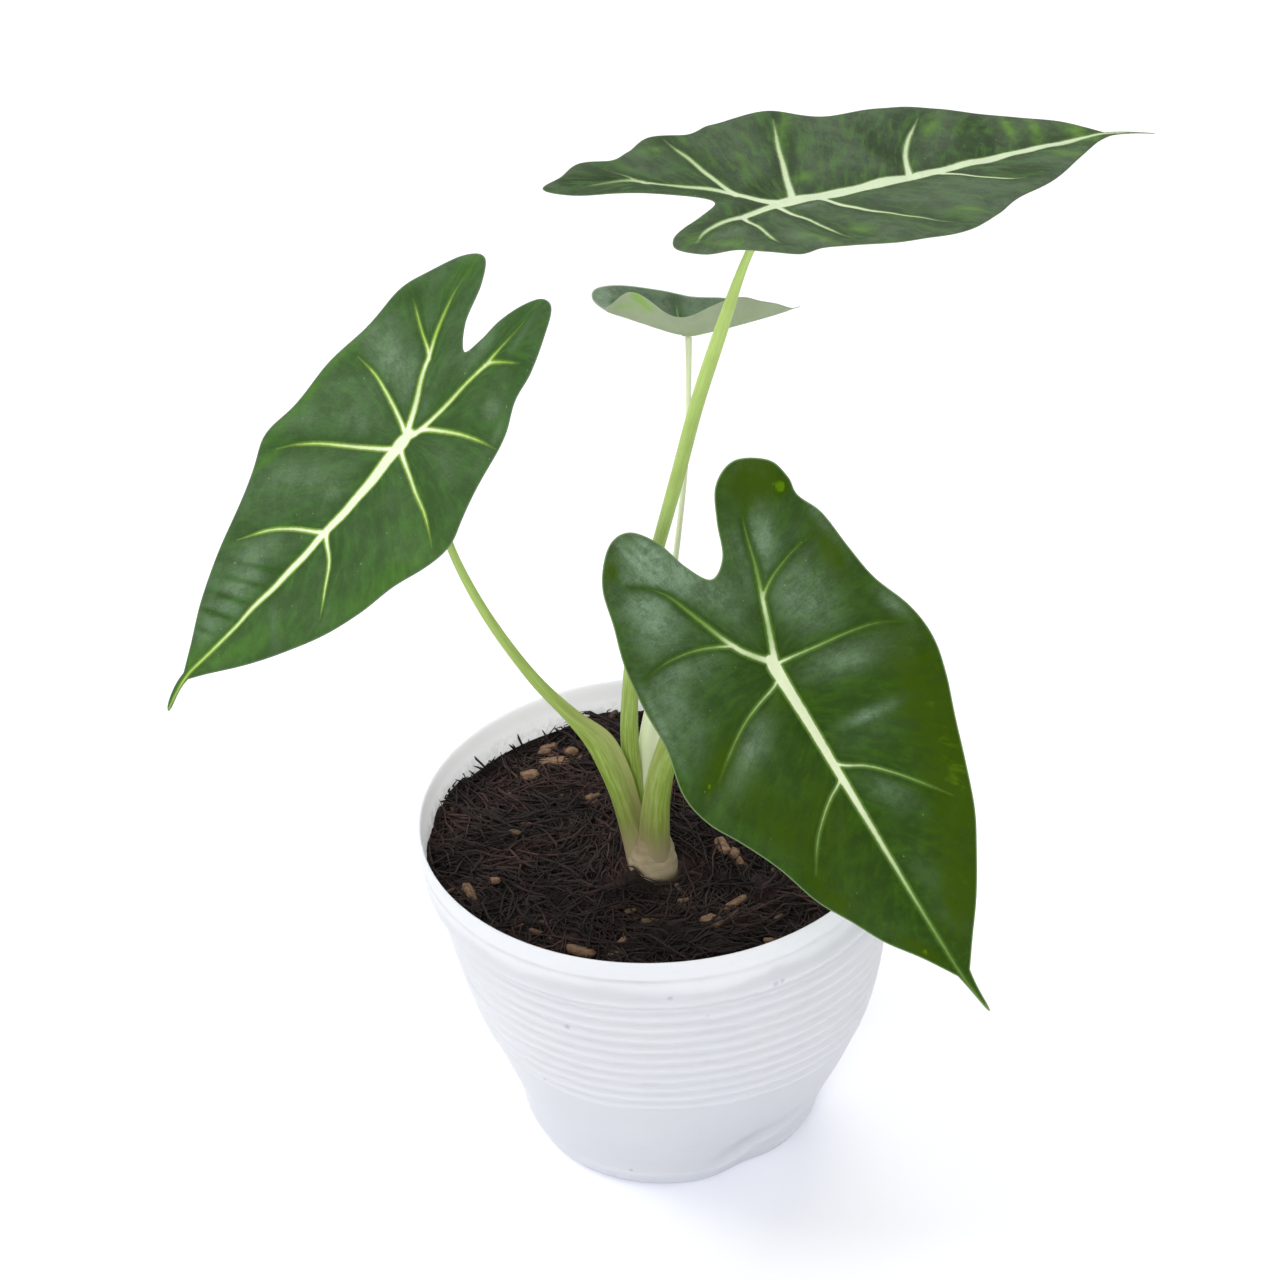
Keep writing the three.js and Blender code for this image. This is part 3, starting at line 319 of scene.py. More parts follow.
            (0.8, 0.2, [(0.4, 0.4), (0.6, -1.4), (1.8, -12), (3, -24), (4.8, -31.5), (8, -38)]),
            (0.8, 0.2, [(35.5, 0.9), (37.8, -1.6), (41.3, -6.8), (47, -12.5), (54, -18), (62.5, -24)]),
            (0.8, 0.2, [(3, 0.6), (5.8, 3.2), (8.2, 9.5), (11.2, 16.5), (16, 24), (22.5, 32.3)]),
            (0.8, 0.2, [(39, 0.9), (41.8, 2.5), (44.6, 6.8), (49, 12), (54.4, 17), (63, 22.6)])],
        "notch": [(0, 0), (-15, 2), (-31, 3)],
        "guides": {
            "right": [[(0, 0), (-11.3, 8.4), (-40, 21.6), (-57, 23)],
                      [(0, 0), (-11.3, 8.4), (-17, 33.5), (-18, 41)],
                      [(3, 0.4), (10.6, 18), (21.5, 31.8), (30, 42)],
                      [(39, 0.5), (49, 12.4), (61.4, 22), (72, 30)]],
            "left": [[(0, 0), (-19, -6.6), (-46, -17), (-60, -23)],
                     [(0, 0), (-19, -6.6), (-27.3, -28), (-28, -38)],
                     [(0, 0), (2.3, -23.4), (7.7, -38.4), (10, -46)],
                     [(35, 0.4), (41.6, -8), (60.6, -22.4), (72, -29)]]},
        "paint": {**UNDERSIDE, "shade": "2b450f", "fresh": "41690f", "sheen_tint": "98b298", "cream": "dae5be",
                  "lime": "80a552", "edge_tint": "86a070", "glow": "354e00", "rough": 0.22, "streak": 0.35,
                  "halo": 1.0, "halo_share": 0.65, "shine": 0.08},
    },
    "blade_back": {
        "solid": "leaf_4", "slot": "leaf_young",
        "junction": (16, 55, 259), "heading": -2, "hang": 0.5, "roll": -26,
        "droop": 0, "lobe_droop": 0, "kink": (0.25, 0.3),
        "folds": [(-27, 0.3, 0.88), (-17, 0.84, 0.88), (-4, 0.6, 0.88), (8, 0.55, 0.84), (20, 0.78, 0.76),
                  (30, 0.95, 0.8)],
        "wave": (10, 1.8, 32, -0.88), "length": 32, "drip": (34.2, 0), "drip_width": 0.7,
        "right": [(-13, 1), (-17.5, 2.2), (-22.5, 3.4), (-25, 6.6), (-23.5, 10.3), (-18, 13.8), (-8, 16.6),
                  (3, 17.5), (12, 15.9), (20, 12.6), (26, 8.4), (30, 4), (32, 0.7)],
        "left": [(-13, 1), (-18, -1.5), (-25, -3), (-29.5, -7), (-28, -11.6), (-19, -15.8), (-8, -17.5),
                 (3, -16.2), (12, -14.2), (20, -11.2), (26, -7.4), (30, -3.4), (32, -0.7)],
        "midrib": [(-1, 0), (0, 0), (15, 0), (32, 0), (34, 0)],
        "midrib_widths": (1.7, 1.3, 0.8, 0.4), "pale": (0.6, 0.2), "side_pale": (0.1, -0.3),
        "swell": 0.4, "ripple": 0.04, "haze": (0.25, 0.25),
        "sheen": [(-26, 0, 4, 18, 0, 0.5), (-10, 10, 6, 6, 0, -0.2)],
        "glow": [(-15.5, 14, 2, 2, 0, 0.8), (-12.5, 13, 2.5, 2, 60, 0.8), (-19, 9.5, 3, 1.2, 10, 0.6),
                 (16, 5, 6, 2, 0, 0.15), (0.5, 3, 2, 4, 0, 0.2)],
        "veins": [
            (0.9, 0.3, [(0, 0), (-10, 4), (-22, 8)]), (0.9, 0.3, [(0, 0), (-10, -4), (-23, -7.5)]),
            (0.6, 0.2, [(0, 0), (-3, 8), (-4, 15)]), (0.6, 0.2, [(0, 0), (-3, -8), (-4, -15.5)]),
            (0.6, 0.2, [(2, 0), (7, 8), (13, 13)]), (0.6, 0.2, [(2, 0), (7, -8), (13, -12)]),
            (0.5, 0.2, [(13, 0), (17, 5), (22, 8)]), (0.5, 0.2, [(13, 0), (17, -5), (22, -8)])],
        "notch": [(0, 0), (-6, 0.5), (-13, 1)],
        "guides": {
            "right": [[(0, 0), (-10, 4), (-22, 8), (-31, 10)], [(0, 0), (-3, 8), (-4, 15), (-4.5, 20)],
                      [(2, 0), (7, 8), (13, 13), (18, 17)], [(13, 0), (17, 5), (22, 8), (27, 11)]],
            "left": [[(0, 0), (-10, -4), (-23, -7.5), (-31, -9)],
                     [(0, 0), (-3, -8), (-4, -15.5), (-4.5, -20)], [(2, 0), (7, -8), (13, -12), (18, -16)],
                     [(13, 0), (17, -5), (22, -8), (27, -11)]]},
        "paint": {"shade": "2c4224", "fresh": "4a7030", "sheen_tint": "8ea08b", "cream": "dbe6c8",
                  "lime": "7e9c60", "edge_tint": "a3b39a", "glow": "86b53c", "back": "a7b494", "rough": 0.5,
                  "streak": 0.4, "halo": 0.4, "halo_share": 0.4, "back_vein": 0.2, "shine": 0.3,
                  "glow_through": 0.8},
    },
}
CREASE = 6  # half width of the rounding where the two halves meet
KINK_RADIUS = 4
WAVE_REACH = 38
FULL_LENGTH = 90
FIELD_PITCH = 4.6  # between the fine side veins at the margin
PALE_REACH = 44  # distance out over which a side vein goes from cream to lime
VEIN_FLARE = 0.2  # how much wider a side vein is where it leaves its parent
SHEEN_RISE = 0.7  # how far a patch of full sheen bulges
RIM_THICKNESS = 0.26
VEIN_REACH = 9  # a point farther out than this belongs to no vein
# Slow unevenness of a blade: height, wave number along and across, phase.
WAVERS = [(0.22, 0.21, 0.13, 0.5), (0.16, -0.17, 0.31, 2.6), (0.12, 0.43, -0.22, 4.1),
          (0.08, 0.37, 0.52, 1.3)]

CAMERA_PLACE = (-2.5, -827.7, 745.2)
CAMERA_DOWN, CAMERA_ROLL = 34.14, -2.26  # degrees below level, and round the line of sight
CAMERA_LENS = 92.5
# Where the lights aim, and for each light: size and distance in metres, azimuth and height in degrees.
LIGHT_AIM = (0, 0, 0.18)
LIGHTS = {"left": (0.6, 1.5, 170, 50), "back": (1.2, 1.7, 80, 52), "front": (0.45, 1.7, -102, 26),
          "right": (1.2, 1.7, -12, 22)}
FLOOR_SIZE = 12

# ------------------------------------------------------------------ settings


def tint(code):
    """Linear red, green and blue of a six-figure web colour."""
    parts = [int(code[i:i + 2], 16) / 255 for i in (0, 2, 4)]
    return tuple(p / 12.92 if p <= 0.04045 else ((p + 0.055) / 1.055) ** 2.4 for p in parts)


def scaled(colour, share):
    return [part * share for part in colour]


def colour_property(label, about, code):
    return bpy.props.FloatVectorProperty(name=label, description=about, default=tint(code), subtype="COLOR",
                                         size=3, min=0, max=1)


def length_property(label, about, millimetres):
    return bpy.props.FloatProperty(name=label, description=about, default=millimetres * MM, min=0,
                                   precision=4, subtype="DISTANCE", unit="LENGTH")


def count_property(label, about, count, least=0):
    return bpy.props.IntProperty(name=label, description=about, default=count, min=least)


def power_property(label, about, watts):
    return bpy.props.FloatProperty(name=label, description=about, default=watts, min=0, subtype="POWER",
                                   unit="POWER")


class PotSettings(bpy.types.PropertyGroup):
    """Sizes and colours of the nursery pot."""
    wall: length_property("Wall", "Thickness of the moulded wall", 1.1)
    rib_height: length_property("Rib height", "How far the turned ribs stand out", 0.36)
    rib_pitch: length_property("Rib pitch", "Distance from one rib to the next", 5)
    sides: count_property("Sides", "Facets round the pot", 216, 24)
    plastic: colour_property("Plastic", "Colour of the plastic", "e9eeff")
    # This colour also paints the shade in the groove and the soil's shadow along the lip.
    grime_and_shade: colour_property("Grime", "Colour of the soil marks on the plastic", "8d7f74")


class SoilSettings(bpy.types.PropertyGroup):
    """The potting mix in the pot."""
    fibres: count_property("Fibres", "Loose coir fibres on the bed", 3900)
    leaning: count_property("Leaning fibres", "Short fibres up against the wall", 200)
    crumbs: count_property("Crumbs", "Bark chips and small crumbs on the bed", 120)
    fibre_radius: length_property("Fibre radius", "Radius of a common fibre", 0.34)
    peat: colour_property("Peat", "Colour of the fine dark mix", "1c1413")
    coir: colour_property("Coir", "Colour of the lighter fibres", "553b33")
    bark: colour_property("Bark", "Colour of the bark chips", "9b7a60")


class StalkSettings(bpy.types.PropertyGroup):
    """Leaf stalks and the neck that they grow from."""
    green: colour_property("Green", "Colour of the stalks", "a9c36a")
    deep: colour_property("Shaded green", "Colour low down on the stalks", "83993a")
    sheath: colour_property("Sheath", "Colour of the thin sheaths", "aeb074")
    # Partly a real blush and partly painted shade between the stalks where they meet.
    blush_and_shade: colour_property("Blush", "Brownish colour where the stalks meet", "86744f")
    skin: colour_property("Skin", "Dry skin of the neck", "b2a384")


class BladeSettings(bpy.types.PropertyGroup):
    """Leaf blades."""
    spacing: length_property("Mesh spacing", "Distance between the points of a blade's mesh", 0.62)
    thickness: length_property("Thickness", "Thickness of a blade away from its veins", 0.6)


class StageSettings(bpy.types.PropertyGroup):
    """Floor, light and camera."""
    floor: colour_property("Floor", "Colour of the floor", "fcfcfc")
    sky: bpy.props.FloatProperty(name="Sky", description="Strength of the even light", default=0.6, min=0)
    left: power_property("Left light", "Power of the soft light at the left", 9)
    back: power_property("Back light", "Power of the soft light behind and above", 12)
    front: power_property("Front light", "Power of the soft light at the front", 9.2)
    right: power_property("Right light", "Power of the weak light at the right", 1.8)


# ------------------------------------------------------------------ materials


class Socket:
    """An output of a shader node. Arithmetic on it adds Math nodes to its material."""

    def __init__(self, paint, out):
        self.paint = paint
        self.out = out

    def math(self, operation, *values):
        return self.paint.node("Math", {"operation": operation}, dict(enumerate(values)))

    def __add__(self, other):
        return self.math("ADD", self, other)

    def __sub__(self, other):
        return self.math("SUBTRACT", self, other)

    def __rsub__(self, other):
        return self.math("SUBTRACT", other, self)

    def __mul__(self, other):
        return self.math("MULTIPLY", self, other)

    __radd__ = __add__
    __rmul__ = __mul__


class Paint:
    """A material as it is mixed. Its node method makes every node."""

    def __init__(self, name):
        self.material = bpy.data.materials.new(name)
        self.material.use_nodes = True
        self.tree = self.material.node_tree
        self.tree.nodes.clear()

    def node(self, kind, settings=None, sockets=None, output=0):
        made = self.tree.nodes.new("ShaderNode" + kind)
        for key, value in (settings or {}).items():
            setattr(made, key, value)
        for key, value in (sockets or {}).items():
            socket = made.inputs[key]
            if isinstance(value, Socket):
                self.tree.links.new(value.out, socket)
            elif socket.type == "RGBA":
                socket.default_value = (*value[:3], 1)
            else:
                socket.default_value = value
        return Socket(self, made.outputs[output] if made.outputs else None)

    def place(self):
        return self.node("TexCoord", output="Object")

    def axis(self, place, index):
        """One of the coordinates x, y and z, by its number."""
        return self.node("SeparateXYZ", None, {0: place}, output=index)

    def attribute(self, name, output="Fac"):
        return self.node("Attribute", {"attribute_name": name}, output=output)

    def stretched(self, vector, scale):
        return self.node("VectorMath", {"operation": "MULTIPLY"}, {0: vector, 1: scale})

    def grain(self, vector, scale, detail=3, roughness=0.55, distortion=0):
        return self.node("TexNoise", None, {"Vector": vector, "Scale": scale, "Detail": detail,
                                            "Roughness": roughness, "Distortion": distortion})

    def ramp(self, value, low, high, start=0):
        """Smooth step from start at low to 1 at high, which may be the smaller of the two."""
        return self.node("MapRange", {"interpolation_type": "SMOOTHSTEP"},
                         {"Value": value, "From Min": low, "From Max": high, "To Min": start})

    def mix(self, share, first, second):
        return self.node("Mix", {"data_type": "RGBA"}, {0: share, 6: first, 7: second}, output=2)

    def bump(self, height, distance, strength):
        return self.node("Bump", None, {"Height": height, "Distance": distance, "Strength": strength})

    def finish(self, colour, roughness, normal=None, **constants):
        sockets = {"Base Color": colour, "Roughness": roughness}
        if normal:
            sockets["Normal"] = normal
        sockets.update({key.replace("_", " "): value for key, value in constants.items()})
        surface = self.node("BsdfPrincipled", None, sockets)
        self.node("OutputMaterial", None, {"Surface": surface})
        return self.material


def plastic_material(settings):
    """Satin white plastic with soil marks, a brown line inside and scuffs, painted shade in the groove and
    along the lip, and a whiter inside painted as light shining through the wall.
    """
    paint = Paint("nursery_plastic")
    place = paint.place()
    level = paint.axis(place, 2)
    inside = paint.attribute("inside")
    cloudy = paint.grain(place, 14)
    fine = paint.grain(place, 260, 4, 0.65)
    smudge = paint.ramp(paint.grain(paint.stretched(place, (1, 1, 2.5)), 30, 4, 0.6), 0.58, 0.8)
    # A patchy darker band in the groove under the lip: painted shade in the groove, in the grime colour.
    groove = paint.ramp(level, 0.1098, 0.111) * paint.ramp(level, 0.1126, 0.1114)
    groove = groove * paint.ramp(cloudy, 0.42, 0.6)
    soil_line = inside * paint.ramp(level, 0.1125, 0.1065) * paint.ramp(fine, 0.4, 0.62)
    # A patchy dark line along the lip at the front: painted shadow of the soil on the plastic.
    front = paint.ramp(paint.axis(place, 1), 0.02, -0.03)
    lip = paint.attribute("lip") * paint.ramp(fine, 0.25, 0.5) * front
    # Smudges and specks are real grime; the groove band and the lip line in this sum are painted shade.
    dirt_and_shade = 0.13 * smudge * (1 - 0.4 * inside) + 0.28 * groove * (1 - inside) + 0.35 * soil_line + 0.4 * lip
    for azimuth, height, size in SPECKS:
        turn = math.radians(azimuth)
        reach = wall_radius(height) + dent(turn, height)
        spot = (reach * math.cos(turn) * MM, reach * math.sin(turn) * MM, height * MM)
        gap = paint.node("VectorMath", {"operation": "DISTANCE"}, {0: place, 1: spot}, output=1)
        dirt_and_shade = dirt_and_shade + 0.5 * paint.ramp(gap + 0.0012 * fine, (size + 1) * MM, size * 0.5 * MM)
    shaded = [c * k for c, k in zip(settings.plastic, (0.94, 0.955, 1))]
    colour = paint.mix(paint.ramp(cloudy, 0.35, 0.75) * 0.6, settings.plastic, shaded)
    # The inside of the wall is painted whiter: painted light, standing in for light shining through the thin
    # wall.
    colour = paint.mix(inside * 0.8, colour, tint("ffffff"))
    colour = paint.mix(dirt_and_shade, colour, settings.grime_and_shade)
    rough = 0.38 + 0.14 * fine + 0.2 * dirt_and_shade
    waver = paint.grain(paint.stretched(place, (0.25, 0.25, 7)), 50, 2, 0.5)
    normal = paint.bump(fine * 0.2 + waver * 0.18, 0.00014, 0.5)
    return paint.finish(colour, rough, normal, IOR=1.47, Subsurface_Weight=0.8, Subsurface_Scale=0.007,
                        Subsurface_Radius=(1, 1, 1))


def mix_material(settings):
    """Dark damp potting mix, by a tone attribute from fine peat to lighter coir."""
    paint = Paint("potting_mix")
    place = paint.place()
    tone = paint.attribute("tone")
    fine = paint.grain(place, 900, 4, 0.7)
    patch = paint.grain(place, 45)
    colour = paint.mix(tone * (0.55 + 0.9 * fine) * (0.5 + patch), settings.peat, settings.coir)
    # Darker patches at random: painted shade of the hollows between clumps.
    colour = paint.mix(paint.ramp(patch, 0.65, 0.35) * 0.6, colour, scaled(settings.peat, 0.45))
    normal = paint.bump(fine, 0.0006, 0.8)
    return paint.finish(colour, 0.72 + 0.2 * fine, normal, Specular_IOR_Level=0.35)


def bark_material(settings):
    """Weathered bark with long pale grain."""
    paint = Paint("bark")
    place = paint.place()
    tone = paint.attribute("tone")
    grain = paint.grain(paint.stretched(place, (1, 2.5, 1)), 420, 5, 0.7)
    colour = paint.mix(paint.ramp(grain, 0.3, 0.75), scaled(settings.bark, 0.3), settings.bark)
    colour = paint.mix(tone, colour, scaled(settings.bark, 0.28))
    return paint.finish(colour, 0.75 + 0.2 * grain, paint.bump(grain, 0.0007, 0.9), Specular_IOR_Level=0.3)


def neck_material(settings):
    """Dry pale skin with faint rings and lengthwise streaks, darker where it meets the bed."""
    paint = Paint("neck_skin")
    place = paint.place()
    level = paint.axis(place, 2)
    rings = paint.grain(paint.stretched(place, (0.5, 0.5, 4)), 110, 4, 0.6)
    streaks = paint.grain(paint.stretched(place, (2.4, 2.4, 0.4)), 260, 3, 0.6)
    colour = paint.mix(paint.ramp(rings, 0.35, 0.75) * 0.5, settings.skin, scaled(settings.skin, 0.7))
    colour = paint.mix(paint.ramp(streaks, 0.45, 0.8) * 0.4, colour, settings.blush_and_shade)
    # Brownish towards the top, where the stalks leave the neck: partly blush, partly painted shade between
    # them.
    colour = paint.mix(paint.ramp(level + 0.003 * rings, 0.112, 0.121) * 0.6, colour, settings.blush_and_shade)
    # Darker just above the bed.
    colour = paint.mix(paint.ramp(level + 0.002 * streaks, 0.1085, 0.1055) * 0.7, colour,
                       scaled(settings.skin, 0.16))
    normal = paint.bump(rings + streaks * 0.6, 0.0004, 0.7)
    return paint.finish(colour, 0.6 + 0.2 * streaks, normal)


def stalk_material(name, settings, paleness, membrane):
    """Waxy green stalk with fine lengthwise streaks, a thin pale sheath and a dry beige foot."""
    paint = Paint(name)
    place = paint.place()
    round_and_along = paint.node("UVMap", {"uv_map": "UVMap"})
    level = paint.axis(place, 2)
    sheath = paint.attribute("sheath")
    streaks = paint.grain(paint.stretched(round_and_along, (26, 7, 1)), 1, 4, 0.6)
    cloud = paint.grain(place, 70)
    pale = [min(c * 1.25 + 0.06, 1) for c in settings.green]
    colour = paint.mix(paint.ramp(level, 0.14, 0.24), settings.deep, settings.green)
    colour = paint.mix(paint.ramp(streaks, 0.38, 0.68) * 0.4, colour, pale)
    colour = paint.mix(paint.ramp(cloud, 0.45, 0.75) * 0.25, colour, settings.deep)
    colour = paint.mix(sheath * (0.5 + 0.5 * streaks) * membrane, colour, settings.sheath)
    colour = paint.mix(paleness * paint.ramp(level, 0.26, 0.15, 0.9), colour, tint("e7edcb"))
    # Brownish low on the sheath and stalks: partly blush, partly painted shade where the stalks crowd
    # together.
    colour = paint.mix(sheath * paint.ramp(level, 0.15, 0.125) * (0.5 * membrane), colour, settings.blush_and_shade)
    colour = paint.mix(paint.ramp(level, 0.14, 0.114) * (0.2 + 0.6 * cloud), colour, settings.blush_and_shade)
    colour = paint.mix(paint.ramp(level + 0.008 * streaks, 0.132, 0.113) * 0.95, colour, settings.skin)
    normal = paint.bump(streaks + cloud * 0.4, 0.00012, 0.6)
    return paint.finish(colour, 0.36 + 0.18 * streaks, normal, IOR=1.42)


def blade_material(name, paint_table):
    """Velvety blade: mottled green fields, painted sheen and painted light shining through, cream veins
    with a lime halo, paler underside.
    """
    look = {key: tint(value) if isinstance(value, str) else value for key, value in paint_table.items()}
    paint = Paint(name)
    place = paint.place()
    field = paint.attribute("field", "Vector")
    vein, pale, rim, under, lit = map(paint.attribute, ("vein", "pale", "rim", "under", "lit"))
    ragged = paint.grain(place, 700, 2, 0.5)
    wide = paint.grain(place, 30)
    mottle = paint.grain(place, 170, 4, 0.65)
    velvet = paint.grain(place, 2600, 3, 0.7)
    streak = paint.grain(paint.stretched(field, (1.1, 2.2, 1)), 1, 4, 0.6, 0.3)
    hair = paint.grain(paint.stretched(field, (6, 2.2, 1)), 1, 3, 0.6)
    crinkle = paint.grain(place, 420, 3, 0.6, 1.2) - 0.5
    crinkle = paint.ramp(crinkle.math("ABSOLUTE", crinkle), 0, 0.09)

    # Green fields, under a painted grey sheen, dark velvet, pale specks and painted yellow-green light
    # through.
    fresh_share = paint.ramp(streak, 0.44, 0.66) * look["streak"] + paint.ramp(mottle, 0.42, 0.7) * 0.26
    green = paint.mix(fresh_share, look["shade"], look["fresh"])
    woven = 0.05 + 0.7 * wide + 0.3 * paint.ramp(hair, 0.3, 0.7) + 0.65 * paint.ramp(mottle, 0.38, 0.62)
    woven = woven + 0.3 * crinkle
    sheen_cover = paint.attribute("haze") * woven * (1 - 0.5 * fresh_share)
    green = paint.mix(sheen_cover.math("MAXIMUM", sheen_cover, 0), green, look["sheen_tint"])
    green = paint.mix(velvet * 0.22, green, scaled(look["shade"], 0.55))
    speckle = paint.ramp(paint.grain(place, 800, 1, 0.3), 0.79, 0.82)
    green = paint.mix(speckle * 0.35, green, look["sheen_tint"])
    lights = 0.35 + 0.5 * wide + 0.4 * paint.ramp(mottle, 0.35, 0.65) + 0.4 * paint.ramp(streak, 0.35, 0.65)
    lit = lit * lights
    glow = paint.mix(paint.ramp(lit, 1.3, 2.2), look["glow"], scaled(look["glow"], 2.6))
    lit = lit.math("MINIMUM", lit, 0.9)
    green = paint.mix(lit, green, glow)

    # Veins: a lime halo, a cream core and a lighter middle in it, painted as a highlight on the vein's ridge.
    edge = vein + 0.3 * (ragged - 0.5)
    halo = paint.ramp(edge, look["halo"], -0.05) * (0.45 + 0.55 * pale)
    green = paint.mix(halo * look["halo_share"], green, look["lime"])
    core = paint.ramp(edge, 0.12, -0.22) * (0.3 + 0.7 * paint.ramp(pale, -0.6, 0.3))
    ridge = paint.ramp(edge, -0.15, -0.55) * 0.3
    upper = paint.mix(core, green, paint.mix(pale + ridge, look["lime"], look["cream"]))
    upper = paint.mix(paint.ramp(rim, 0.55, 0.1) * 0.7, upper, look["edge_tint"])

    back = paint.mix(paint.ramp(mottle, 0.35, 0.75) * 0.3, look["back"], scaled(look["back"], 0.68))
    back = paint.mix(paint.ramp(hair, 0.5, 0.75) * 0.25, back, scaled(look["back"], 0.75))
    back = paint.mix(lit * look["glow_through"], back, glow)
    back = paint.mix(core * look["back_vein"], back, tint("b9cc8e"))
    colour = paint.mix(under, upper, back)
    rough = look["rough"] + 0.14 * velvet + 0.1 * mottle + 0.12 * under
    normal = paint.bump(hair * 0.4 + mottle * 0.5 + velvet * 0.15 + crinkle * 0.2, 0.00028, 0.6)
    return paint.finish(colour, rough, normal, IOR=1.4, Specular_IOR_Level=look["shine"])


def floor_material(settings):
    """Clean pale floor, faintly clouded."""
    paint = Paint("studio_floor")
    cloud = paint.grain(paint.place(), 3)
    colour = paint.mix(cloud * 0.25, settings.floor, scaled(settings.floor, 0.97))
    return paint.finish(colour, 0.6 + 0.1 * cloud)


# ------------------------------------------------------------------ curves and fields


def smooth_step(value, low, high):
    share = np.clip((value - low) / (high - low), 0, 1)
    return share * share * (3 - 2 * share)


def bell(distance, spread):
    return np.exp(-((distance / spread) ** 2))


def run_lengths(line):
    """Distance run along a line at each of its points."""
    return np.r_[0, np.cumsum(np.linalg.norm(np.diff(line, axis=0), axis=1))]


def closed_line(loop):
    return np.vstack([loop, loop[:1]])


def span(start, end, pull, push, count):
    """Points of a cubic curve from start up to end, which leaves along pull and arrives along push."""
    t = (np.arange(count) / count)[:, None]
    return ((2 * start - 2 * end + pull + push) * t ** 3
            + (-3 * start + 3 * end - 2 * pull - push) * t ** 2 + pull * t + start)


def smooth_line(knots, per_span):
    """Points along an even Catmull-Rom curve through all the knots."""
    knots = np.array(knots, float)
    last = len(knots) - 1
    points = []
    for k in range(last):
        before, start, end, after = (knots[min(max(i, 0), last)] for i in (k - 1, k, k + 1, k + 2))
        points.append(span(start, end, (end - before) / 2, (after - start) / 2, per_span))
    return np.vstack([*points, knots[-1:]])


def sampled(line, lengths, count):
    """A line's columns at a number of places an even distance apart."""
    wanted = np.linspace(0, lengths[-1], count)
    return np.column_stack([np.interp(wanted, lengths, column) for column in line.T])


def even_points(line, spacing):
    """The same line with points an even distance apart."""
    lengths = run_lengths(line)
    return sampled(line, lengths, max(int(round(lengths[-1] / spacing)), 1) + 1)


def soft_patches(u, v, table):
    """Sum of oval patches: middle, half length and width, lean in degrees, share at the middle."""
    total = np.zeros(len(u))
    for u0, v0, length, width, lean, share in table:
        c, s = math.cos(math.radians(lean)), math.sin(math.radians(lean))
        along, across = (u - u0) * c + (v - v0) * s, (v - v0) * c - (u - u0) * s
        total += share * bell(np.hypot(along / length, across / width), 1)
    return total


def nearest(points, line):
    """Distance of each point from a line, and how far along the line its nearest place is, 0 to 1."""
    lengths = run_lengths(line)
    gap = np.full(len(points), np.inf)
    share = np.zeros(len(points))
    for k in range(len(line) - 1):
        start, step = line[k], line[k + 1] - line[k]
        t = np.clip(((points - start) @ step) / max(step @ step, 1e-12), 0, 1)
        away = np.hypot(points[:, 0] - start[0] - t * step[0], points[:, 1] - start[1] - t * step[1])
        closer = away < gap
        gap[closer] = away[closer]
        share[closer] = (lengths[k] + t[closer] * (lengths[k + 1] - lengths[k])) / lengths[-1]
    return gap, share


def within(points, loop):
    """Which points lie inside a closed loop."""
    inside = np.zeros(len(points), bool)
    x, y = points.T
    for (x1, y1), (x2, y2) in zip(loop, np.roll(loop, -1, axis=0)):
        if y1 != y2:
            inside ^= ((y1 > y) != (y2 > y)) & (x < (x2 - x1) * (y - y1) / (y2 - y1) + x1)
    return inside


# ------------------------------------------------------------------ making pieces


def deselect():
    bpy.ops.object.select_all(action="DESELECT")


def add_marks(mesh, marks):
    """Float attributes on the points of a mesh."""
    for mark, values in marks.items():
        mesh.attributes.new(mark, "FLOAT", "POINT").data.foreach_set("value", values.astype(np.float32))


def rolled_sheet(name, around, along, place):
    """A flat grid rolled up by place(angle, row), sewn at its seam and closed at its poles."""
    deselect()
    bpy.ops.mesh.primitive_grid_add(x_subdivisions=around, y_subdivisions=along, size=1)
    piece = bpy.context.object
    piece.name = piece.data.name = name
    mesh = piece.data
    flat = np.empty(len(mesh.vertices) * 3)
    mesh.vertices.foreach_get("co", flat)
    turn, share, _ = np.clip(flat.reshape(-1, 3) + 0.5, 0, 1).T
    points, marks = place(turn * TURN, np.round(share * along).astype(int))
    mesh.vertices.foreach_set("co", (points * MM).ravel())
    add_marks(mesh, marks)
    bpy.ops.object.mode_set(mode="EDIT")
    bpy.ops.mesh.select_all(action="SELECT")
    bpy.ops.mesh.remove_doubles(threshold=2e-7)
    bpy.ops.mesh.normals_make_consistent(inside=False)
    bpy.ops.object.mode_set(mode="OBJECT")
    bpy.ops.object.shade_smooth()
    return piece


def mesh_piece(name, points, faces, marks):
    """A smooth piece from points in millimetres, faces and float attributes."""
    mesh = bpy.data.meshes.new(name)
    mesh.from_pydata((points * MM).tolist(), [], faces.tolist())
    add_marks(mesh, marks)
    mesh.shade_smooth()
    piece = bpy.data.objects.new(name, mesh)
    bpy.context.scene.collection.objects.link(piece)
    return piece


def settle(piece, material, slot, *solids):
    """Gives a piece its material and puts it in the part."""
    piece.data.materials.clear()
    piece.data.materials.append(material)
    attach(piece, BODY)
    if solids:
        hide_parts(*solids)


# ------------------------------------------------------------------ pot


def wall_radius(level):
    return np.interp(level, *zip(*PLAIN_WALL))


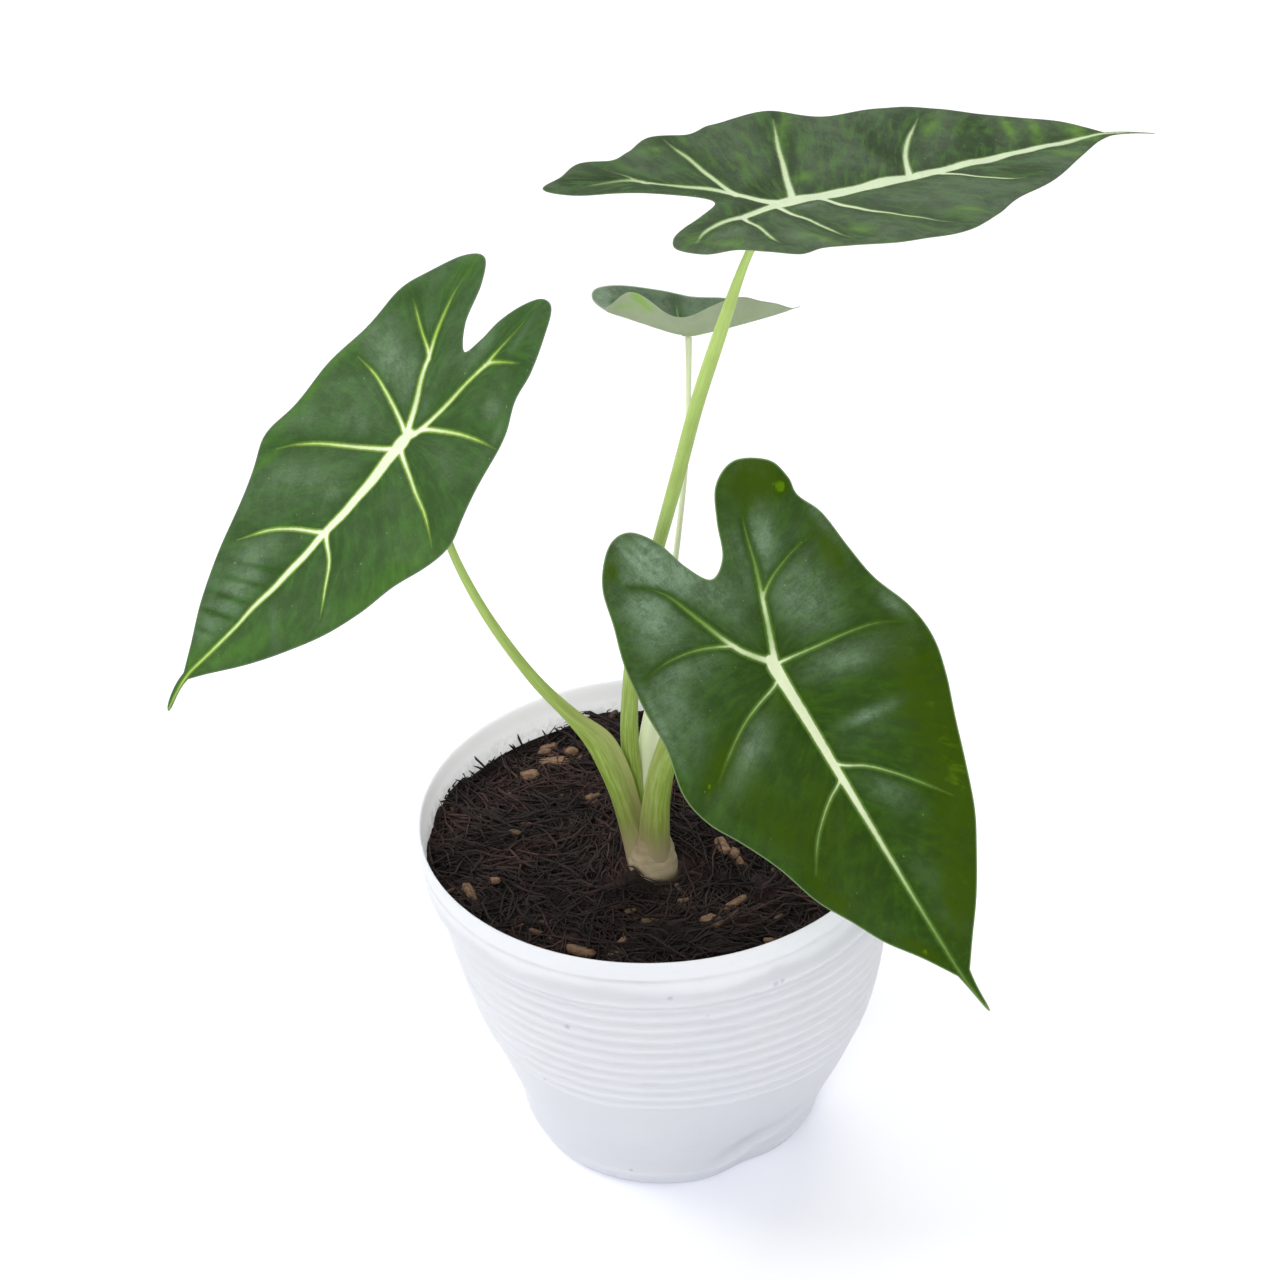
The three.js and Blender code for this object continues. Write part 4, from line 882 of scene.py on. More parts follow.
def dent(angle, level):
    """How far the squashed foot moves the wall out, or in where negative."""
    def away(azimuth):
        turn = np.degrees(angle) - azimuth
        return turn - 360 * np.round(turn / 360)
    crease = level - FOOT_CREASE["level"] - FOOT_CREASE["climb"] * away(FOOT_CREASE["azimuth"])
    ridge = bell(crease + FOOT_CREASE["ridge_below"], FOOT_CREASE["ridge_width"])
    run = bell(away(FOOT_CREASE["azimuth"]), FOOT_CREASE["length"])
    folded = run * FOOT_CREASE["depth"] * (ridge - bell(crease, FOOT_CREASE["width"]))
    above = level - BULGE["level"]
    out = (BULGE["height"] * bell(away(BULGE["azimuth"]), BULGE["spread"])
           * bell(above, np.where(above > 0, BULGE["reach"], BULGE["low_reach"]))
           * (1 - smooth_step(level, *BULGE["fade"])))
    low = bell(level - FLAT["level"], FLAT["reach"])
    return out - FLAT["depth"] * bell(away(FLAT["azimuth"]), FLAT["spread"]) * low + folded


def pot_profile(settings):
    """Level and radius from the middle of the underside, up outside, over the lip and down inside."""
    pitch, height, wall = settings.rib_pitch / MM, settings.rib_height / MM, settings.wall / MM
    levels = np.arange(WALL_LINE[0][0], WALL_LINE[-1][0] + 0.01, ROW_STEP)
    ribbed = (levels > RIB_FROM) & (levels < RIB_TO)
    swell = np.where(ribbed, 0.5 - 0.5 * np.cos(TURN * (levels - RIB_FROM) / pitch), 0) ** RIB_SHARPNESS
    outside = np.column_stack([levels, wall_radius(levels) + height * swell])
    down = np.r_[np.arange(INSIDE_TOP, 2 * POT_FLOOR, -INSIDE_STEP), POT_FLOOR]
    inside = np.column_stack([down, wall_radius(down) - wall])
    return np.vstack([FOOT_LINE, outside, RIM_LINE, inside, [(POT_FLOOR, FLOOR_RING), (POT_FLOOR, 0)]])


def cut_drains(pot):
    """Takes a ring of round holes out of the pot's floor."""
    cutters = []
    for k in range(DRAIN_COUNT):
        angle = TURN * k / DRAIN_COUNT
        deselect()
        bpy.ops.mesh.primitive_cylinder_add(
            vertices=DRAIN_SIDES, radius=DRAIN_RADIUS * MM, depth=DRAIN_DEPTH * MM,
            location=(DRAIN_CIRCLE * MM * math.cos(angle), DRAIN_CIRCLE * MM * math.sin(angle), 0))
        cutters.append(bpy.context.object)
    for cutter in cutters:
        cutter.select_set(True)
    bpy.ops.object.join()
    joined = bpy.context.object
    deselect()
    pot.select_set(True)
    bpy.context.view_layer.objects.active = pot
    cut = pot.modifiers.new("holes", "BOOLEAN")
    cut.operation = "DIFFERENCE"
    cut.object = joined
    bpy.ops.object.modifier_apply(modifier=cut.name)
    bpy.data.objects.remove(joined)


class ALOCASIA_OT_pot(bpy.types.Operator):
    """Build the nursery pot: a thin ribbed cone with a rim band, a squashed foot and drain holes"""
    bl_idname = "alocasia.pot"
    bl_label = "Pot"

    def execute(self, context):
        settings = context.scene.alocasia_pot
        profile = pot_profile(settings)
        lip = int(np.argmax(profile[:, 0]))

        def place(angle, row):
            angle = -angle
            level, radius = profile[row].T
            reach = radius + dent(angle, level) * np.minimum(radius / FULL_DENT, 1)
            points = np.column_stack([reach * np.cos(angle), reach * np.sin(angle), level])
            return points, {"inside": (row > lip + 1).astype(float),
                            "lip": ((row >= lip) & (row < lip + LIP_ROWS)).astype(float)}

        pot = rolled_sheet("nursery_pot", settings.sides, len(profile) - 1, place)
        cut_drains(pot)
        settle(pot, plastic_material(settings), "pot_plastic", "pot")
        return {"FINISHED"}


# ------------------------------------------------------------------ soil


def bed_height(x, y):
    """Level of the bed's surface."""
    level = SOIL_LEVEL
    for height, kx, ky, phase in LUMPS:
        level = level + height * np.sin(kx * x + ky * y + phase)
    for x0, y0, reach, depth in HOLLOWS:
        level = level - depth * bell(np.hypot(x - x0, y - y0), reach)
    return level


def strewn(name, faces, copies, tones):
    """A piece of many copies of a small shape: copies holds each copy's own points."""
    count = len(copies[0])
    shifts = np.repeat(np.arange(len(copies)) * count, len(faces))
    every_face = np.tile(faces, (len(copies), 1)) + shifts[:, None]
    return mesh_piece(name, np.vstack(copies), every_face, {"tone": np.repeat(tones, count)})


def rod_faces(rings, sides):
    """Triangles of a rod whose rings lie one after another, with closed ends."""
    faces = []
    for i in range(rings - 1):
        for k in range(sides):
            a, b = i * sides + k, i * sides + (k + 1) % sides
            faces += [(a, b, b + sides), (a, b + sides, a + sides)]
    top = (rings - 1) * sides
    for k in range(1, sides - 1):
        faces += [(0, k + 1, k), (top, top + k, top + k + 1)]
    return np.array(faces)


def rod_points(path, radius):
    """Rings round a path, thinner towards both ends."""
    step = np.gradient(path, axis=0)
    step /= np.linalg.norm(step, axis=1)[:, None]
    side = np.cross(step, (0, 0, 1.0))
    side /= np.linalg.norm(side, axis=1)[:, None] + 1e-9
    over = np.cross(side, step)
    share = np.linspace(0, 1, len(path))
    reach = radius * (1 - 0.65 * np.abs(2 * share - 1) ** 4)
    angle = np.arange(FIBRE_SIDES) / FIBRE_SIDES * TURN
    ring = (side[:, None] * np.cos(angle)[None, :, None] + over[:, None] * np.sin(angle)[None, :, None])
    return (path[:, None] + ring * reach[:, None, None]).reshape(-1, 3)


def build_bed(wall, material):
    """The body of potting mix: an uneven top, and sides that follow the wall down to the floor."""
    rows = len(TOP_SHARES) + len(SIDE_LEVELS)

    def place(angle, row):
        edge = wall_radius(SOIL_LEVEL) + dent(angle, SOIL_LEVEL) - wall - BED_GAP
        on_top = row < len(TOP_SHARES)
        level = np.where(on_top, 0, SIDE_LEVELS[np.clip(row - len(TOP_SHARES), 0, len(SIDE_LEVELS) - 1)])
        side = wall_radius(level) + dent(angle, level) - wall - BED_GAP
        side = side - SIDE_STEP * (level < SIDE_STEP_LEVEL)
        radius = np.where(on_top, edge * TOP_SHARES[np.clip(row, 0, len(TOP_SHARES) - 1)], side)
        radius = np.where(row == rows, 0, radius)
        x, y = radius * np.cos(angle), radius * np.sin(angle)
        z = np.where(on_top, bed_height(x, y), level)
        return np.column_stack([x, y, z]), {"tone": np.full(len(x), 0.25)}

    settle(rolled_sheet("soil_bed", BED_SIDES, rows, place), material, "potting_mix", "soil")


def loose_fibre(dice, reach, wall, common_radius):
    """Points and tone of one strewn fibre, or nothing where it misses the bed or meets the neck."""
    length = dice.choice(FIBRE_LENGTHS) * dice.uniform(0.8, 1.3)
    radius = math.sqrt(dice.uniform(0, 1)) * reach
    azimuth, heading = dice.uniform(0, TURN, 2)
    # Some more lie close to the wall, round the left and the back.
    if dice.uniform() < 0.08:
        radius = reach * dice.uniform(0.85, 1)
        azimuth = dice.uniform(1.9, 3.3)
    along = np.linspace(-0.5, 0.5, FIBRE_RINGS) * length
    x, y = radius * math.cos(azimuth), radius * math.sin(azimuth)
    # Nearly half run with their neighbours, as combed.
    if dice.uniform() < 0.45:
        heading = 1.4 * math.sin(0.045 * x + 1) + 1.2 * math.cos(0.05 * y) + dice.normal(0, 0.35)
    wiggle = 0.12 * np.sin(dice.uniform(0, TURN) + 0.5 * along)
    course = heading + dice.uniform(-0.8, 0.8) * along / length + wiggle
    x = x + along * np.cos(course)
    y = y + along * np.sin(course)
    lift = dice.uniform(-0.4, 2.2)
    tilt = dice.normal(0, 0.1)
    thick = common_radius * dice.uniform(0.5, 1.5)
    tone = dice.beta(1.1, 2.8)
    from_neck = np.hypot(x - STEM_CENTRE[0], y - STEM_CENTRE[1]).min()
    if np.hypot(x, y).max() > reach + OVERHANG or from_neck < NECK_CLEAR:
        return None
    level = bed_height(x, y)
    limit = wall_radius(level) + dent(np.arctan2(y, x), level) - wall - FIBRE_GAP
    squeeze = np.minimum(limit / np.hypot(x, y), 1)
    x, y = x * squeeze, y * squeeze
    level = bed_height(x, y)
    z = 0.5 * level + 0.5 * level.mean() + lift + tilt * along
    return rod_points(np.column_stack([x, y, z]), thick), tone


def standing_fibre(x0, y0, length, rise, azimuth, reach):
    """Points of a fibre with its foot in the bed, sagging towards its tip."""
    along = np.linspace(-0.2, 1, FIBRE_RINGS) * length
    slope, way = math.radians(rise), math.radians(azimuth)
    sag = 0.25 * (along / length) ** 2 * length
    x = x0 + along * math.cos(slope) * math.cos(way)
    y = y0 + along * math.cos(slope) * math.sin(way)
    z = bed_height(x0, y0) + along * math.sin(slope) - sag
    squeeze = np.minimum(reach / np.hypot(x, y), 1)
    return rod_points(np.column_stack([x * squeeze, y * squeeze, z]), 0.3 + 0.012 * length)


def build_fibres(dice, settings, reach, wall, material):
    """Strewn fibres, the fibres that stand up and short ones that lean on the wall, as one piece."""
    rods, tones = [], []
    while len(rods) < settings.fibres:
        fibre = loose_fibre(dice, reach, wall, settings.fibre_radius / MM)
        if fibre:
            rods.append(fibre[0])
            tones.append(fibre[1])
    leaning = []
    for _ in range(settings.leaning):
        azimuth = dice.uniform(0, 360)
        way = math.radians(azimuth)
        radius = reach - dice.uniform(1, 6)
        leaning.append((radius * math.cos(way), radius * math.sin(way), dice.uniform(2, 6),
                        dice.uniform(5, 40), azimuth + dice.uniform(-80, 80)))
    for fibre in [*STANDING, *leaning]:
        rods.append(standing_fibre(*fibre, reach))
        tones.append(0.1)
    settle(strewn("coir_fibres", rod_faces(FIBRE_RINGS, FIBRE_SIDES), rods, tones), material, "potting_mix")


def build_bark(dice, settings, reach, material):
    """The large chips at their places and small crumbs strewn round them, as one piece."""
    deselect()
    bpy.ops.mesh.primitive_ico_sphere_add(subdivisions=2, radius=1)
    lump = bpy.context.object
    ball = np.array([v.co for v in lump.data.vertices])
    faces = np.array([f.vertices for f in lump.data.polygons])
    bpy.data.objects.remove(lump)
    sizes = [(*chip, 0.0) for chip in BARK]
    while len(sizes) < settings.crumbs:
        radius = math.sqrt(dice.uniform(0, 1)) * reach
        azimuth = dice.uniform(0, TURN)
        size = dice.uniform(0.9, 2.6)
        x, y = radius * math.cos(azimuth), radius * math.sin(azimuth)
        if math.hypot(x - STEM_CENTRE[0], y - STEM_CENTRE[1]) > CRUMB_CLEAR:
            sizes.append((x, y, size * dice.uniform(1.3, 2.6), size * 0.8, size * 0.6, dice.beta(4, 1.2)))
    chips, tones = [], []
    for x, y, length, width, height, tone in sizes:
        turn = dice.uniform(0, TURN)
        tip = Matrix.Rotation(dice.normal(0, 0.25), 3, "X") @ Matrix.Rotation(dice.normal(0, 0.25), 3, "Y")
        shape = np.sign(ball) * np.abs(ball) ** 0.6 * (1 + dice.uniform(-0.18, 0.18, (len(ball), 1)))
        a, b, c = (shape * np.array([length, width, height]) / 2 @ np.array(tip)).T
        spun = np.column_stack([a * math.cos(turn) - b * math.sin(turn),
                                a * math.sin(turn) + b * math.cos(turn), c])
        chips.append(spun + (x, y, bed_height(x, y) + height * 0.25 + 0.5))
        tones.append(tone)
    settle(strewn("bark_chips", faces, chips, tones), material, "potting_mix")


class ALOCASIA_OT_soil(bpy.types.Operator):
    """Build the bed of potting mix with its loose coir fibres, bark chips and crumbs"""
    bl_idname = "alocasia.soil"
    bl_label = "Soil"

    def execute(self, context):
        settings = context.scene.alocasia_soil
        wall = context.scene.alocasia_pot.wall / MM
        reach = wall_radius(SOIL_LEVEL) - wall - LOOSE_GAP
        dice = np.random.default_rng(SEED)
        dark = mix_material(settings)
        build_bed(wall, dark)
        build_fibres(dice, settings, reach, wall, dark)
        build_bark(dice, settings, reach, bark_material(settings))
        return {"FINISHED"}


# ------------------------------------------------------------------ neck and stalks


class ALOCASIA_OT_neck(bpy.types.Operator):
    """Build the short swollen neck that the stalks grow from"""
    bl_idname = "alocasia.neck"
    bl_label = "Neck"

    def execute(self, context):
        line = smooth_line(STEM_LINE, 5)

        def place(angle, row):
            level, radius = line[row, 0], np.maximum(line[row, 1], 0)
            lobed = radius * (1 + 0.05 * np.cos(3 * angle + 0.6) + 0.015 * np.sin(7 * angle + level))
            ringed = lobed + 0.06 * np.sin(level * 1.9 + np.sin(angle * 2)) * np.minimum(radius / 4, 1)
            x, y = STEM_CENTRE
            return np.column_stack([x + ringed * np.cos(angle), y + ringed * np.sin(angle), level]), {}

        neck = rolled_sheet("neck", NECK_SIDES, len(line) - 1, place)
        settle(neck, neck_material(context.scene.alocasia_stalk), "stem_skin", "stem_base")
        return {"FINISHED"}


def stalk_route(points):
    """Places and half sizes along a centripetal curve through a stalk's points, and the curve's length."""
    points = np.array(points, float)
    knots = np.vstack([2 * points[0] - points[1], points, 2 * points[-1] - points[-2]])
    route = []
    for before, start, end, after in zip(knots, knots[1:], knots[2:], knots[3:]):
        first, middle, last = (max(np.linalg.norm(step[:3]) ** 0.5, 1e-3)
                               for step in (start - before, end - start, after - end))
        pull = (start - before) / first - (end - before) / (first + middle) + (end - start) / middle
        push = (end - start) / middle - (after - start) / (middle + last) + (after - end) / last
        route.append(span(start, end, pull * middle, push * middle, 16))
    route = np.vstack([*route, points[-1:]])
    lengths = run_lengths(route[:, :3])
    return sampled(route, lengths, STALK_RINGS + 1), lengths[-1]


def untwisted(route):
    """Directions across a route, to its side and to its front, which turn no more than it does."""
    steps = np.gradient(route, axis=0)
    steps /= np.linalg.norm(steps, axis=1)[:, None]
    sides, side = [], np.array([1.0, 0, 0])
    for step in steps:
        side = side - step * (side @ step)
        side /= np.linalg.norm(side)
        sides.append(side)
    return np.array(sides), np.cross(steps, sides)


def build_stalk(name, stalk):
    """A stalk up to the underside of its blade, flattened to a thin sheath on one side low down."""
    blade = BLADES[stalk["blade"]]
    _, _, normal = blade_axes(blade)
    flare = stalk["route"][-1][3] * 1.25
    end = (*(np.array(blade["junction"], float) - 0.35 * normal), flare, flare)
    route, length = stalk_route([*stalk["route"], end])
    sides, fronts = untwisted(route[:, :3])
    start, stop = stalk["wing"]

    def place(angle, row):
        along = row / STALK_RINGS
        closed = ((row > 0) & (row < STALK_RINGS)).astype(float)
        wing = smooth_step(along, start - 0.06, start + 0.02) * (1 - smooth_step(along, stop - 0.14, stop))
        wing = wing * (stop > 0)
        over = np.cos(angle) * stalk["wing_side"]
        thin = 1 - 0.72 * wing * smooth_step(over, 0.05, 0.8)
        groove = 1 - 0.1 * bell(np.sin(angle) - 1, 0.5) * (1 - wing)
        across = route[row, 3] * np.cos(angle) * closed
        front = route[row, 4] * np.sin(angle) * thin * groove * closed
        points = route[row, :3] + sides[row] * across[:, None] + fronts[row] * front[:, None]
        return points, {"sheath": wing * smooth_step(over, -0.3, 0.9)}

    piece = rolled_sheet(name, STALK_SIDES, STALK_RINGS, place)
    corners = piece.data.uv_layers[0].data
    flat = np.empty(len(corners) * 2)
    corners.foreach_get("uv", flat)
    flat = flat.reshape(-1, 2) * (1, length / 100)
    corners.foreach_set("uv", flat.ravel())
    return piece


class ALOCASIA_OT_stalks(bpy.types.Operator):
    """Build the four leaf stalks with their sheaths"""
    bl_idname = "alocasia.stalks"
    bl_label = "Stalks"

    def execute(self, context):
        settings = context.scene.alocasia_stalk
        for name, stalk in STALKS.items():
            paleness, slot = (0.92, "stalk_pale") if name == "stalk_back" else (0.0, "stalk_green")
            skin = stalk_material(name + "_skin", settings, paleness, stalk["membrane"])
            settle(build_stalk(name, stalk), skin, slot, stalk["solid"])
        return {"FINISHED"}


# ------------------------------------------------------------------ blades


def blade_axes(blade):
    """Directions along the midrib, to its right and out of the upper side."""
    h, p, r = (math.radians(blade[key]) for key in ("heading", "hang", "roll"))
    along = np.array([math.cos(h) * math.cos(p), math.sin(h) * math.cos(p), -math.sin(p)])
    upright = np.array([math.cos(h) * math.sin(p), math.sin(h) * math.sin(p), math.cos(p)])
    normal = upright * math.cos(r) + np.cross(along, upright) * math.sin(r)
    return along, np.cross(along, normal), normal


def blade_height(blade, u, v):
    """Height of the blade's middle surface over its plane."""
    right = v >= 0
    arch = -np.where(u > 0, blade["droop"], blade["lobe_droop"]) * u * u
    kink = np.where(u > 0, *blade["kink"]) * (np.hypot(u, KINK_RADIUS) - KINK_RADIUS)
    slope = np.where(right, *blade["folds"][0][1:])
    for here, there in zip(blade["folds"], blade["folds"][1:]):
        step = smooth_step(u, here[0], there[0])
        slope = slope + step * np.where(right, there[1] - here[1], there[2] - here[2])
    fold = slope * (np.hypot(v, CREASE) - CREASE)
    at_right, at_left, length, phase = blade["wave"]
    swing = np.where(right, at_right, at_left) * (v / WAVE_REACH) ** 2
    wave = swing * np.sin(TURN * u / length + phase + np.where(right, 0, 2))
    return arch + kink + fold + wave


def blade_loop(blade, spacing):
    """The margin as a closed loop: right half, drip tip, left half, round the notch."""
    right, left = np.array(blade["right"], float), np.array(blade["left"], float)
    margin = smooth_line(np.vstack([left[::-1], right[1:]]), 12)
    middle = (margin[-1] + margin[0]) / 2
    tip = np.array(blade["drip"], float)
    ahead = middle + ((tip[0] - middle[0]) * 0.45, 0)
    t = np.linspace(0, 1, 12)[1:, None]
    centre = (1 - t) ** 2 * middle + 2 * t * (1 - t) * ahead + t * t * tip
    course = np.gradient(np.vstack([middle, centre]), axis=0)[1:]
    across = np.column_stack([-course[:, 1], course[:, 0]]) / np.linalg.norm(course, axis=1)[:, None]
    end = blade["drip_width"] / 2
    half = end + (np.linalg.norm(margin[-1] - margin[0]) / 2 - end) * (1 - t) ** 1.7
    half = half * np.sqrt(1 - 0.94 * t ** 8)
    loop = np.vstack([margin, centre + across * half, (centre - across * half)[::-1], margin[:1]])
    return even_points(loop, spacing)[:-1]


def guide_family(blade, side):
    """Fine side veins of one half, from the notch to the tip, each as ten short steps."""
    rows = [blade["notch"], *blade["guides"][side]]
    guides = [even_points(smooth_line(row, 8), 0.5) for row in rows]
    last = guides[-1]
    foot = np.array(rows[-1][0], float)
    end = np.array([blade["length"] * 1.02, foot[1] * 0.2])
    for share in (0.3, 0.6, 0.85, 0.99):
        guides.append(foot + (end - foot) * share + (last - foot) * (1 - share))
    guides = [g[np.round(np.linspace(0, len(g) - 1, 11)).astype(int)] for g in guides]
    pitch = FIELD_PITCH * min(blade["length"] / FULL_LENGTH, 1)
    family = []
    for here, there in zip(guides, guides[1:]):
        steps = max(round(np.linalg.norm(there[-1] - here[-1]) / pitch), 1)
        family += [here + (there - here) * k / steps for k in range(steps)]
    return [*family, guides[-1]]


def field_places(points, family):
    """For each point, its place among the side veins and how far out along them it is."""
    gaps, shares = zip(*(nearest(points, line) for line in family))
    gaps, shares = np.array(gaps), np.array(shares)
    here = np.argmin(gaps, axis=0)
    column = np.arange(len(points))
    below, above = np.clip(here - 1, 0, len(family) - 1), np.clip(here + 1, 0, len(family) - 1)
    upward = (gaps[above, column] <= gaps[below, column]) & (above != here) | (below == here)
    other = np.where(upward, above, below)
    part = gaps[here, column] / np.maximum(gaps[here, column] + gaps[other, column], 1e-6)
    return here + np.where(upward, part, -part), shares[here, column]


def blade_field(blade, flat):
    """Where each point lies among the fine side veins, how far out, and a number that parts the halves."""
    field = np.zeros((len(flat), 3))
    right = flat[:, 1] >= 0
    for side, mine, apart in (("right", right, 3.0), ("left", ~right, 11.0)):
        place, out = field_places(flat[mine], guide_family(blade, side))
        field[mine] = np.column_stack([place, out * 2, np.full(mine.sum(), apart)])
    return field


def blade_sheet(loop, lines, spacing):
    """Places and triangles of a flat net inside the loop, with rows of points along the lines."""
    low, high = loop.min(0), loop.max(0)
    rows = []
    for i, y in enumerate(np.arange(low[1], high[1], spacing * 0.866)):
        x = np.arange(low[0] + (i % 2) * spacing / 2, high[0], spacing)
        rows.append(np.column_stack([x, np.full(len(x), y)]))
    grid = np.vstack(rows)
    grid = grid[within(grid, loop)]
    gap, _ = nearest(grid, closed_line(loop))
    grid = grid[gap > spacing * 0.55]
    on_lines = []
    for line in lines:
        row = even_points(line, spacing * 0.9)
        gap, _ = nearest(row, closed_line(loop))
        row = row[within(row, loop) & (gap > spacing * 0.5)]
        if on_lines:
            apart = np.linalg.norm(row[:, None] - np.vstack(on_lines)[None], axis=2).min(1)
            row = row[apart > spacing * 0.45]
        on_lines.append(row)
        gap, _ = nearest(grid, line)
        grid = grid[gap > spacing * 0.5]
    places = np.vstack([loop, *on_lines, grid])
    edges = [(k, (k + 1) % len(loop)) for k in range(len(loop))]
    points, _, faces, _, _, _ = delaunay_2d_cdt([Vector(p) for p in places], edges, [], 1, 1e-6)
    flat = np.array([(p.x, p.y) for p in points])
    faces = np.array([f for f in faces if len(f) == 3])
    a, b, c = (flat[faces[:, i]] for i in range(3))
    area = (b[:, 0] - a[:, 0]) * (c[:, 1] - a[:, 1]) - (b[:, 1] - a[:, 1]) * (c[:, 0] - a[:, 0])
    return flat, np.where(area[:, None] > 0, faces, faces[:, ::-1])


def closed_skin(faces, count):
    """Triangles of a closed blade: its upper points come first, count of them, and then its lower ones."""
    sides = np.vstack([faces[:, [0, 1]], faces[:, [1, 2]], faces[:, [2, 0]]])
    key = np.sort(sides, axis=1)
    _, index, uses = np.unique(key[:, 0] * count + key[:, 1], return_index=True, return_counts=True)
    start, stop = sides[index[uses == 1]].T
    return np.vstack([faces[:, ::-1], faces + count, np.column_stack([start, stop, stop + count]),
                      np.column_stack([start, stop + count, start + count])])


def vein_relief(blade, flat, veins, grown):
    """What the veins do to each point: distance outside the nearest one, how pale that is, how deep the
    upper side sinks, how far the ribs stand out below, and distance from the nearest middle line."""
    u, v = flat.T
    border = np.full(len(flat), float(VEIN_REACH))
    from_vein = np.full(len(flat), np.inf)
    pale, knots, sunk, ribs = np.zeros((4, len(flat)))
    for line, widths, (pale_start, pale_end), main in veins:
        away, share = nearest(flat, line)
        half = np.interp(share, np.linspace(0, 1, len(widths)), widths) / 2
        run = share * run_lengths(line)[-1]
        if main:
            out = share
            half = half * (0.55 + 0.45 * smooth_step(run, 0, 4 * grown))
            depth, rib, crown = 0.55, 1.7, 0.3 * grown * (1 - 0.7 * share)
        else:
            out = np.hypot(np.minimum(u, 0), v) / (PALE_REACH * (0.2 + 0.8 * grown))
            half = half + VEIN_FLARE * widths[0] * np.exp(-run / 1.8)
            half = half - 0.45 * smooth_step(share, 0.72, 1.0)
            depth, rib, crown = 0.5, 0.9, 0
            knots = np.maximum(knots, 0.55 * bell(np.hypot(u - line[0, 0], v - line[0, 1]), 4 * grown))
        nearer = away - half < border
        border = np.where(nearer, away - half, border)
        pale = np.where(nearer, np.clip(pale_start + (pale_end - pale_start) * out, -0.8, 1), pale)
        crown = crown * (1 - smooth_step(away, half * 0.3, half * 1.1))
        sunk = np.maximum(sunk, depth * grown * (1 - 0.75 * share) * bell(away, 1.5 + half) - crown)
        bow = np.sqrt(np.maximum(1 - (away / (half * 1.2 + 0.25)) ** 2, 0))
        ribs = np.maximum(ribs, rib * grown * (1 - 0.8 * share) * bow * (1 - share ** 6))
        from_vein = np.minimum(from_vein, away)
    return border, np.minimum(pale + knots, 1), sunk, ribs, from_vein


def build_blade(name, blade, settings):
    """The blade as a closed mesh, its veins sunk above and standing out below."""
    grown = min(blade["length"] / FULL_LENGTH, 1)
    spacing = settings.spacing / MM * (0.6 + 0.4 * (grown == 1))
    loop = blade_loop(blade, spacing)
    veins = [(smooth_line(blade["midrib"], 8), blade["midrib_widths"], blade["pale"], True)]
    veins += [(smooth_line(knots, 8), (wide, fine), blade["side_pale"], False)
              for wide, fine, knots in blade["veins"]]
    flat, faces = blade_sheet(loop, [vein[0] for vein in veins], spacing)
    border, pale, sunk, ribs, from_vein = vein_relief(blade, flat, veins, grown)
    field = blade_field(blade, flat)
    u, v = flat.T
    rim_gap, _ = nearest(flat, closed_line(loop))

    # The fields swell between the veins, and the fine side veins ripple them.
    inward = smooth_step(rim_gap, 0, 7)
    sheen = soft_patches(u, v, blade["sheen"])
    swell = blade["swell"] * grown * (1 - bell(from_vein, 7)) * inward - 0.3 * grown * inward
    swell = swell + SHEEN_RISE * sheen * grown * inward
    rise = blade["ripple"] * (0.55 + 0.45 * np.sin(0.19 * u + 0.5) * np.sin(0.23 * v + 1.1 + 0.05 * u))
    faded = smooth_step(from_vein, 1, 6) * smooth_step(rim_gap, 0, 5)
    ripple = rise * grown * np.cos(TURN * field[:, 0]) * faded
    for height, ku, kv, phase in WAVERS:
        ripple = ripple + height * grown * inward * np.sin(ku * u + kv * v + phase)
    height = blade_height(blade, u, v) + swell
    thick = RIM_THICKNESS + (settings.thickness / MM - RIM_THICKNESS) * smooth_step(rim_gap, 0, 2.2)
    upper = height + ripple - sunk + thick / 2
    lower = height + ripple * 0.7 - sunk * 0.5 - thick / 2 - ribs * smooth_step(rim_gap, 0.2, 2.5)
    along, across, normal = blade_axes(blade)
    base = np.array(blade["junction"]) + flat[:, :1] * along + flat[:, 1:] * across
    points = np.vstack([base + upper[:, None] * normal, base + lower[:, None] * normal])

    # Painted grey sheen, weaker next to the veins so that they read as shaded grooves; the patches fade at
    # vein edges.
    haze = np.where(v >= 0, *blade["haze"]) * (1 - 0.85 * bell(from_vein, 6 * grown))
    marks = {"vein": np.clip(border, -2, 6), "pale": pale, "rim": rim_gap,
             "lit": soft_patches(u, v, blade["glow"]), "haze": haze + sheen * (1 - bell(border, 1.5))}
    marks = {key: np.r_[values, values] for key, values in marks.items()}
    marks["under"] = np.repeat([0, 1], len(flat))
    piece = mesh_piece(name, points, closed_skin(faces, len(flat)), marks)
    places = piece.data.attributes.new("field", "FLOAT_VECTOR", "POINT")
    places.data.foreach_set("vector", np.vstack([field, field + (0, 0, 5)]).astype(np.float32).ravel())
    return piece


class ALOCASIA_OT_blades(bpy.types.Operator):
    """Build the four leaf blades"""
    bl_idname = "alocasia.blades"
    bl_label = "Blades"

    def execute(self, context):
        for name, blade in BLADES.items():
            piece = build_blade(name, blade, context.scene.alocasia_blade)
            settle(piece, blade_material(name + "_skin", blade["paint"]), blade["slot"], blade["solid"])
        return {"FINISHED"}


# ------------------------------------------------------------------ stage


